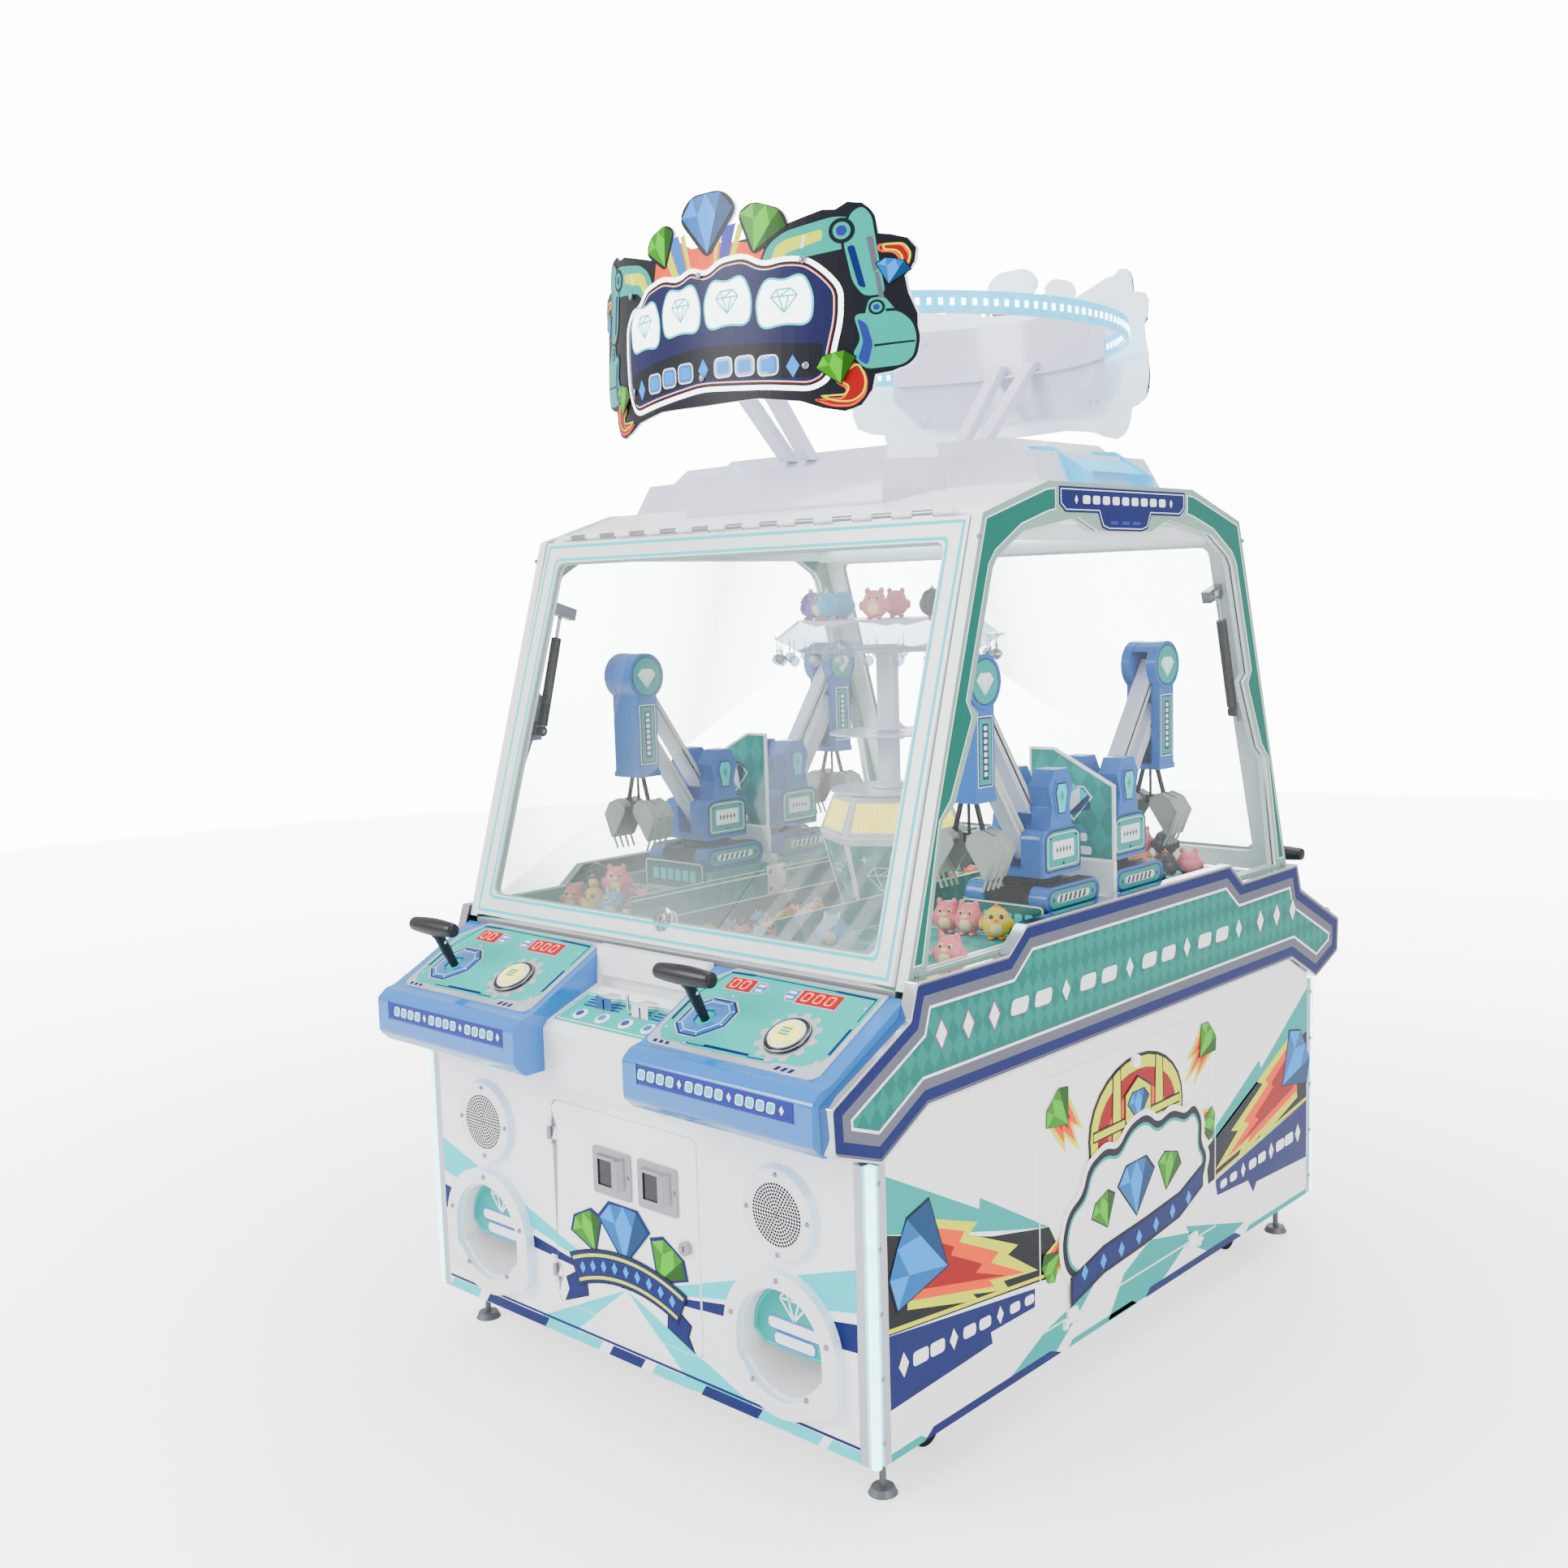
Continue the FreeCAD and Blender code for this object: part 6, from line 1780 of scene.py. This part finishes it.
def both_faces(piece, x, draw):
    """Draw the same print on the +X and -X faces of a digger part; v is up and u along Y."""
    for side in (-1, 1):
        art = Piece("print", lambda u, v, n: (side * (x + n), u * side, v))
        draw(art, side)
        gather(piece, art)


def stadium(u0, u1, v0, v1, steps=10):
    radius = (v1 - v0) / 2
    middle = (v0 + v1) / 2
    right = [(u1 - radius + radius * sin(pi * i / steps), middle - radius * cos(pi * i / steps))
             for i in range(steps + 1)]
    return right + [(u0 + u1 - u, 2 * middle - v) for u, v in right]


def track_print(art, side):
    art.line(stadium(-86, 86, 911, 951), 3, "gem_blue_dark", 0)
    art.film(stadium(-78, 78, 915, 947), "print_teal", 0)
    art.film(stadium(-56, 56, 924, 939), "print_white", 1)
    for index in range(6):
        u = -44 + index * 16
        art.film([(u - 5, 925), (u + 2, 925), (u + 8, 938), (u + 1, 938)], "print_black", 2)
    for u in (-67, 67):
        art.film(circle(u, 931, 4, 10), "gem_blue_dark", 1)


def cab_print(art, side):
    outline = [(-57, 982), (57, 982), (57, 1046), (40, 1054), (-40, 1054), (-57, 1046)]
    art.film(rounded(inset(outline, -4), 10), "print_navy", 0)
    art.film(rounded(outline, 9), "print_teal", 1)
    art.line(rounded(inset(outline, 4), 8), 1.6, "print_white", 2)
    art.film(rounded(rect(-36, 1002, 36, 1036), 3), "print_white", 3)
    for u in (-22, -11, 0, 11, 22):
        diamond(art, u, 1019, 4, 7, "slate_silver", 4)
    for u, v in ((-44, 1043), (44, 1043), (0, 992)):
        screw(art, u, v, 0.6, 3, "dark_metal")


def hood_print(art, side):
    """Raised coffin-shaped lamp."""
    outline = [(-12, 1086), (12, 1086), (21, 1128), (14, 1146), (-14, 1146), (-21, 1128)]
    art.add(prism(inset(outline, -5), 0, 1.8), "digger_blue")
    art.add(prism(outline, 1.8, 2.6), "print_navy")
    art.add(prism(inset(outline, 3), 2.6, 3.2), "line_turquoise")
    diamond(art, 0, 1120, 7, 12, "print_teal", 0, 3.2)


def stick_print(art, side):
    y, z = STICK_HEAD
    u = y * side
    art.film(circle(u, z, 43, 40), "gem_blue_dark", 0)
    art.film(circle(u, z, 40, 40), "print_teal", 1)
    outline = [GEM_POINTS[key] for key in "ADPCB"]
    art.film([(u + a * 26, z + b * 26) for a, b in outline], "print_white", 2)
    art.stroke((u - 14, z + 4), (u, z - 24), 1.4, "line_turquoise", 3)
    art.stroke((u + 14, z + 4), (u, z - 24), 1.4, "line_turquoise", 3)


def stick_label(art, side):
    u = STICK_HEAD[0] * side
    outline = rect(u - 21, 1158, u + 21, 1284)
    art.film(inset(outline, -2), "print_white", 0)
    art.film(outline, "print_navy", 1)
    art.film(inset(outline, 3), "print_teal", 2)
    art.film(rounded(rect(u - 9, 1170, u + 9, 1272), 2), "print_navy", 3)
    for index in range(8):
        art.film(rounded(rect(u - 5, 1176 + index * 12, u + 5, 1184 + index * 12), 2), "print_white", 4)


def bar_print(drop, half):
    """Thin yellow line and two screws on each side of a boom bar."""
    foot = Vector((0, -25, 1098 - drop))
    head = Vector((0, STICK_HEAD[0], STICK_HEAD[1] - drop))
    along = (head - foot).normalized()
    across = Vector((1, 0, 0)).cross(along)
    piece = Piece("bar_print")

    def draw(art, side):
        def spot(t, w):
            point = foot + along * t + across * w
            return point.y * side, point.z

        for w in (-half + 5, half - 5):
            art.film([spot(36, w - 0.7), spot(270, w - 0.7), spot(270, w + 0.7), spot(36, w + 0.7)],
                     "print_yellow", 0)
        for t in (44, 262):
            u, v = spot(t, 0)
            screw(art, u, v, 0, 2.6, "dark_metal")

    both_faces(piece, 17, draw)
    return piece


def bucket_print():
    """Ribs on the back of a jaw and a rod along each of its side edges."""
    piece = Piece("jaw_ribs")
    y, z = STICK_HEAD[0], 1064
    profile = [(17, 3), (36, 14), (62, 4), (80, -22), (58, -74)]
    for offset in (-22, 0, 22):
        for a, b in zip(profile[1:], profile[2:]):
            start = Vector((a[0], y + offset, z + a[1]))
            end = Vector((b[0], y + offset, z + b[1]))
            piece.add(tube([start, end], 2.0, 8), "jaw_grey", True)
    for offset in (-30.5, 30.5):
        path = [Vector((u, y + offset, z + v)) for u, v in profile]
        piece.add(tube(path, 1.5, 8), "jaw_grey", True)
    return piece


def diggers():
    tracks = Piece("front_right_track_print")
    both_faces(tracks, 93, track_print)
    for index in range(15):
        for side in (-1, 1):
            for z, lift in ((956, 0.2), (906, -0.9)):
                low, high = sorted((side * 55, side * 91))
                pad = prism(rounded(rect(low, -72 + index * 10, high, -66 + index * 10), 1.5, 2),
                            z - 0.4 + lift,
                            z + 0.9 + lift)
                tracks.add(pad, "dark_metal")
    body = Piece("front_right_cab_print")
    both_faces(body, 71, cab_print)
    both_faces(body, 67, hood_print)
    head = Piece("front_right_stick_print")
    both_faces(head, 41, stick_print)
    both_faces(head, 38.95, stick_label)
    boom, link, ribs = bar_print(0, 13), bar_print(92, 11), bucket_print()
    boom.name = "front_right_boom_print"
    link.name = "front_right_link_print"
    ribs.name = "front_right_jaw_a_ribs"
    start = digger_place("front_right")
    made = [("track_print", tracks.build("machine_frame", "track_blue", matrix=start), None),
            ("cab_print", body.build("front_right_upper_body", "digger_blue", matrix=start), "upper_body"),
            ("stick_print", head.build("front_right_stick", "stick_blue", matrix=start), "stick"),
            ("boom_print", boom.build("front_right_boom", "boom_white", matrix=start), "boom"),
            ("link_print", link.build("front_right_link_bar", "boom_white", matrix=start), "link_bar"),
            ("jaw_a_ribs", ribs.build("front_right_jaw_a", "jaw_grey", matrix=start), "jaw_a")]
    back = start.inverted()
    axis = Matrix.Translation(Vector((0, STICK_HEAD[0], 0)) * MM)
    about = axis @ Matrix.Rotation(pi, 4, "Z") @ axis.inverted()
    for corner in CORNERS:
        for suffix, thing, part in made:
            if corner != "front_right":
                again(thing, f"{corner}_{suffix}", f"{corner}_{part}" if part else "machine_frame",
                      digger_place(corner) @ back)
        ribs_a = made[-1][1]
        again(ribs_a, f"{corner}_jaw_b_ribs", f"{corner}_jaw_b", digger_place(corner) @ about @ back)


# ---------------------------------------------------------------- prizes
def toy(piece, spot, size, colour, kind, turn, tilt=0.0):
    """Small vinyl animal of no particular sort: round body, belly, eyes, beak or snout, ears or crest."""
    place = Matrix.Translation(spot) @ Matrix.Rotation(turn, 4, "Z") @ Matrix.Rotation(tilt, 4, "X") \
        @ Matrix.Scale(size / 2, 4)

    def part(centre, radii, finish, steps=10, rows=6):
        fine = size > 50
        piece.add(moved_by(place, ball(centre, radii, steps if fine else 7, rows if fine else 4)),
                  "toy_" + finish, True)

    accent = {"pink": "cream", "yellow": "cream", "orange": "yellow", "purple": "cream", "blue": "cream",
              "black": "cream"}[colour]
    part((0, 0, -0.1), (0.92, 0.86, 0.84), colour, 16, 10)
    part((0, 0.02, 0.34), (0.74, 0.72, 0.6), colour, 14, 8)
    part((0, -0.34, -0.22), (0.58, 0.58, 0.54), accent, 12, 8)
    for side in (-1, 1):
        part((side * 0.3, -0.6, 0.42), (0.15, 0.12, 0.17), "cream" if kind else "black", 8, 5)
        part((side * 0.29, -0.69, 0.42), (0.08, 0.06, 0.1), "black", 8, 5)
        part((side * 0.9, -0.08, -0.1), (0.16, 0.34, 0.34), colour, 8, 5)
        part((side * 0.32, -0.3, -0.9), (0.24, 0.34, 0.12), "orange" if kind != 1 else colour, 8, 5)
    if kind == 0:
        part((0, -0.74, 0.26), (0.14, 0.2, 0.1), "orange", 8, 5)
        for offset in (-0.16, 0, 0.16):
            part((offset, 0, 0.96 - abs(offset)), (0.1, 0.1, 0.22), "orange", 6, 4)
    elif kind == 1:
        part((0, -0.74, 0.2), (0.22, 0.14, 0.17), accent, 8, 5)
        for side in (-1, 1):
            part((side * 0.46, 0.0, 0.86), (0.2, 0.12, 0.26), colour, 8, 5)
    else:
        part((0, -0.76, 0.24), (0.12, 0.16, 0.09), "orange", 8, 5)
        for side in (-1, 1):
            part((side * 0.4, -0.1, 0.9), (0.13, 0.1, 0.3), accent, 6, 4)


TOY_SORTS = (("pink", 1), ("yellow", 0), ("orange", 0), ("purple", 2), ("blue", 2), ("black", 0),
             ("pink", 2),
             ("yellow", 1))


def prizes():
    """Toys on the trays and the canopy, and a heap in the pit."""
    draw = random.Random(7)
    rows = (((372, -292, 10, "pink"), (420, -288, 10, "pink"), (486, -292, 10, "yellow"),
             (538, -505, 0, "pink"),
             (250, -484, 0, "blue")),
            ((-424, -540, 0, "pink"), (-362, -540, 0, "yellow"), (-300, -540, 0, "blue"),
             (-240, -540, 0, "black"),
             (-393, -488, 0, "black"), (-331, -488, 0, "orange"), (-269, -488, 0, "pink"),
             (-378, -514, 45, "black"), (-316, -514, 45, "pink")))
    kinds = {"pink": 1, "yellow": 0, "blue": 2, "orange": 0, "black": 0, "purple": 2}
    trays = Piece("tray_toys")
    for end in (1, -1):
        for x, y, rise, colour in rows[0] + rows[1]:
            turn = draw.uniform(-0.3, 0.3) + (0.5 if end > 0 else pi + 0.5)
            toy(trays, (end * x, end * y, DECK_Z + rise + 31), 62, colour, kinds[colour], turn)
    trays.build("machine_frame", "deck_teal")
    heap = Piece("pit_toys")
    step = 47
    for layer, z in enumerate((761, 796, 830)):
        for row in range(-12, 13):
            for column in range(-4, 5):
                x = column * step + (row % 2) * step / 2 + layer * 14
                y = row * step * 0.9 + layer * 16
                if abs(x) > 168 - layer * 8 or abs(y) > 552 - layer * 14 or hypot(x, y) < 128 + 14 * layer:
                    continue
                colour, kind = draw.choice(TOY_SORTS)
                jitter = [draw.uniform(-5, 5) for _ in range(3)]
                toy(heap, (x + jitter[0], y + jitter[1], z + jitter[2]), 45, colour, kind,
                    draw.uniform(0, 2 * pi), draw.uniform(-0.8, 0.8))
    heap.build("machine_frame", "deck_teal")
    crown = Piece("canopy_toys")
    for index, colour in enumerate(("purple", "blue", "pink", "black", "yellow", "orange", "pink", "blue")):
        angle = 2 * pi * index / 8 - 2.6
        toy(crown, (160 * cos(angle), 160 * sin(angle), 1491), 62, colour, kinds[colour], angle + pi / 2)
    crown.build("machine_frame", "tower_teal")


def make_pieces():
    banner_art()
    side_art()
    front_art()
    speakers()
    outlets()
    ticket_mouths()
    consoles()
    door_lines()
    side_frame_art()
    roof_details()
    corner_details()
    hoop_lights()
    front_sign()
    deck_art()
    tower_art()
    pendants()
    diggers()
    prizes()


# ---------------------------------------------------------------- floor, light and camera
FLOOR_RADIUS = 9000.0


def studio_material():
    """Pale floor that fades into the white surroundings with distance."""
    shader = Shader("studio")
    shader.colour(shade((0.9, 0.9, 0.92), 1.0))
    shader.main.inputs["Roughness"].default_value = 0.7
    axis = shader.axes()
    away = shader.math("SQRT", shader.math("ADD", shader.math("POWER", axis[0], 2.0),
                                           shader.math("POWER", axis[1], 2.0)))
    fade = shader.math("MULTIPLY", shader.math("MAXIMUM", shader.math("SUBTRACT", away, 0.8), 0.0), 1.6)
    seen = shader.node("ShaderNodeLightPath").outputs["Is Camera Ray"]
    shader.glow((1, 1, 1, 1), shader.math("MULTIPLY", seen, shader.math("ADD",
                                                                        shader.math("MINIMUM", fade, 8.0),
                                                                        1.2)))


def make_stage():
    """Round pale floor that meets the white surroundings."""
    mesh = bpy.data.meshes.new("studio_floor")
    edge = circle(0, 0, FLOOR_RADIUS, 96)
    mesh.from_pydata([Vector((x, y, 0)) * MM for x, y in edge], [], [list(range(len(edge)))])
    mesh.materials.append(MATERIALS["studio"])
    floor = bpy.data.objects.new("studio_floor", mesh)
    bpy.context.scene.collection.objects.link(floor)


def soft_light(name, place, aim, size, power, colour=(1, 1, 1)):
    data = bpy.data.lights.new(name, "AREA")
    data.shape = "RECTANGLE"
    data.size, data.size_y = size
    data.energy = power
    data.color = colour
    thing = bpy.data.objects.new(name, data)
    bpy.context.scene.collection.objects.link(thing)
    thing.location = place
    thing.rotation_mode = "QUATERNION"
    thing.rotation_quaternion = (Vector(aim) - Vector(place)).to_track_quat("-Z", "Y")


def make_lights():
    soft_light("key", (-2.4, -4.6, 3.6), (0, -0.2, 1.0), (2.6, 2.6), 330)
    soft_light("fill", (4.6, -1.2, 2.4), (0, 0, 1.0), (2.4, 3.0), 120, (1.0, 0.95, 0.96))
    soft_light("top", (0.2, 0.4, 4.6), (0, 0, 1.0), (3.2, 3.2), 230)
    soft_light("back", (-2.6, 4.0, 3.0), (0, 0, 1.2), (2.6, 2.6), 160)
    world = bpy.data.worlds.new("studio")
    world.use_nodes = True
    tree = world.node_tree
    background = tree.nodes["Background"]
    background.inputs[0].default_value = (1.0, 1.0, 1.0, 1)
    path = tree.nodes.new("ShaderNodeLightPath")
    level = tree.nodes.new("ShaderNodeMapRange")
    level.inputs["To Min"].default_value = 1.15
    level.inputs["To Max"].default_value = 14.0
    tree.links.new(path.outputs["Is Camera Ray"], level.inputs["Value"])
    tree.links.new(level.outputs[0], background.inputs[1])
    bpy.context.scene.world = world


def make_camera():
    """Camera at the photographed viewing angle, 37 mm lens."""
    azimuth, elevation, roll = -0.7354, -0.1124, -0.0277
    forward = Vector((sin(azimuth) * cos(elevation), cos(azimuth) * cos(elevation), sin(elevation)))
    right = Vector((cos(azimuth), -sin(azimuth), 0))
    up = right.cross(forward)
    right, up = right * cos(roll) + up * sin(roll), up * cos(roll) - right * sin(roll)
    data = bpy.data.cameras.new("camera")
    data.sensor_width = 36.0
    data.lens = 37.32
    data.shift_x = -0.0155
    data.shift_y = -0.0008
    data.clip_end = 100.0
    thing = bpy.data.objects.new("camera", data)
    bpy.context.scene.collection.objects.link(thing)
    turn = Matrix((right, up, -forward)).transposed().to_4x4()
    thing.matrix_world = Matrix.Translation((2.2197, -2.7172, 1.5048)) @ turn
    bpy.context.scene.camera = thing


def main():
    make_materials()
    studio_material()
    dress_cad_nodes()
    make_pieces()
    make_stage()
    make_lights()
    make_camera()


main()
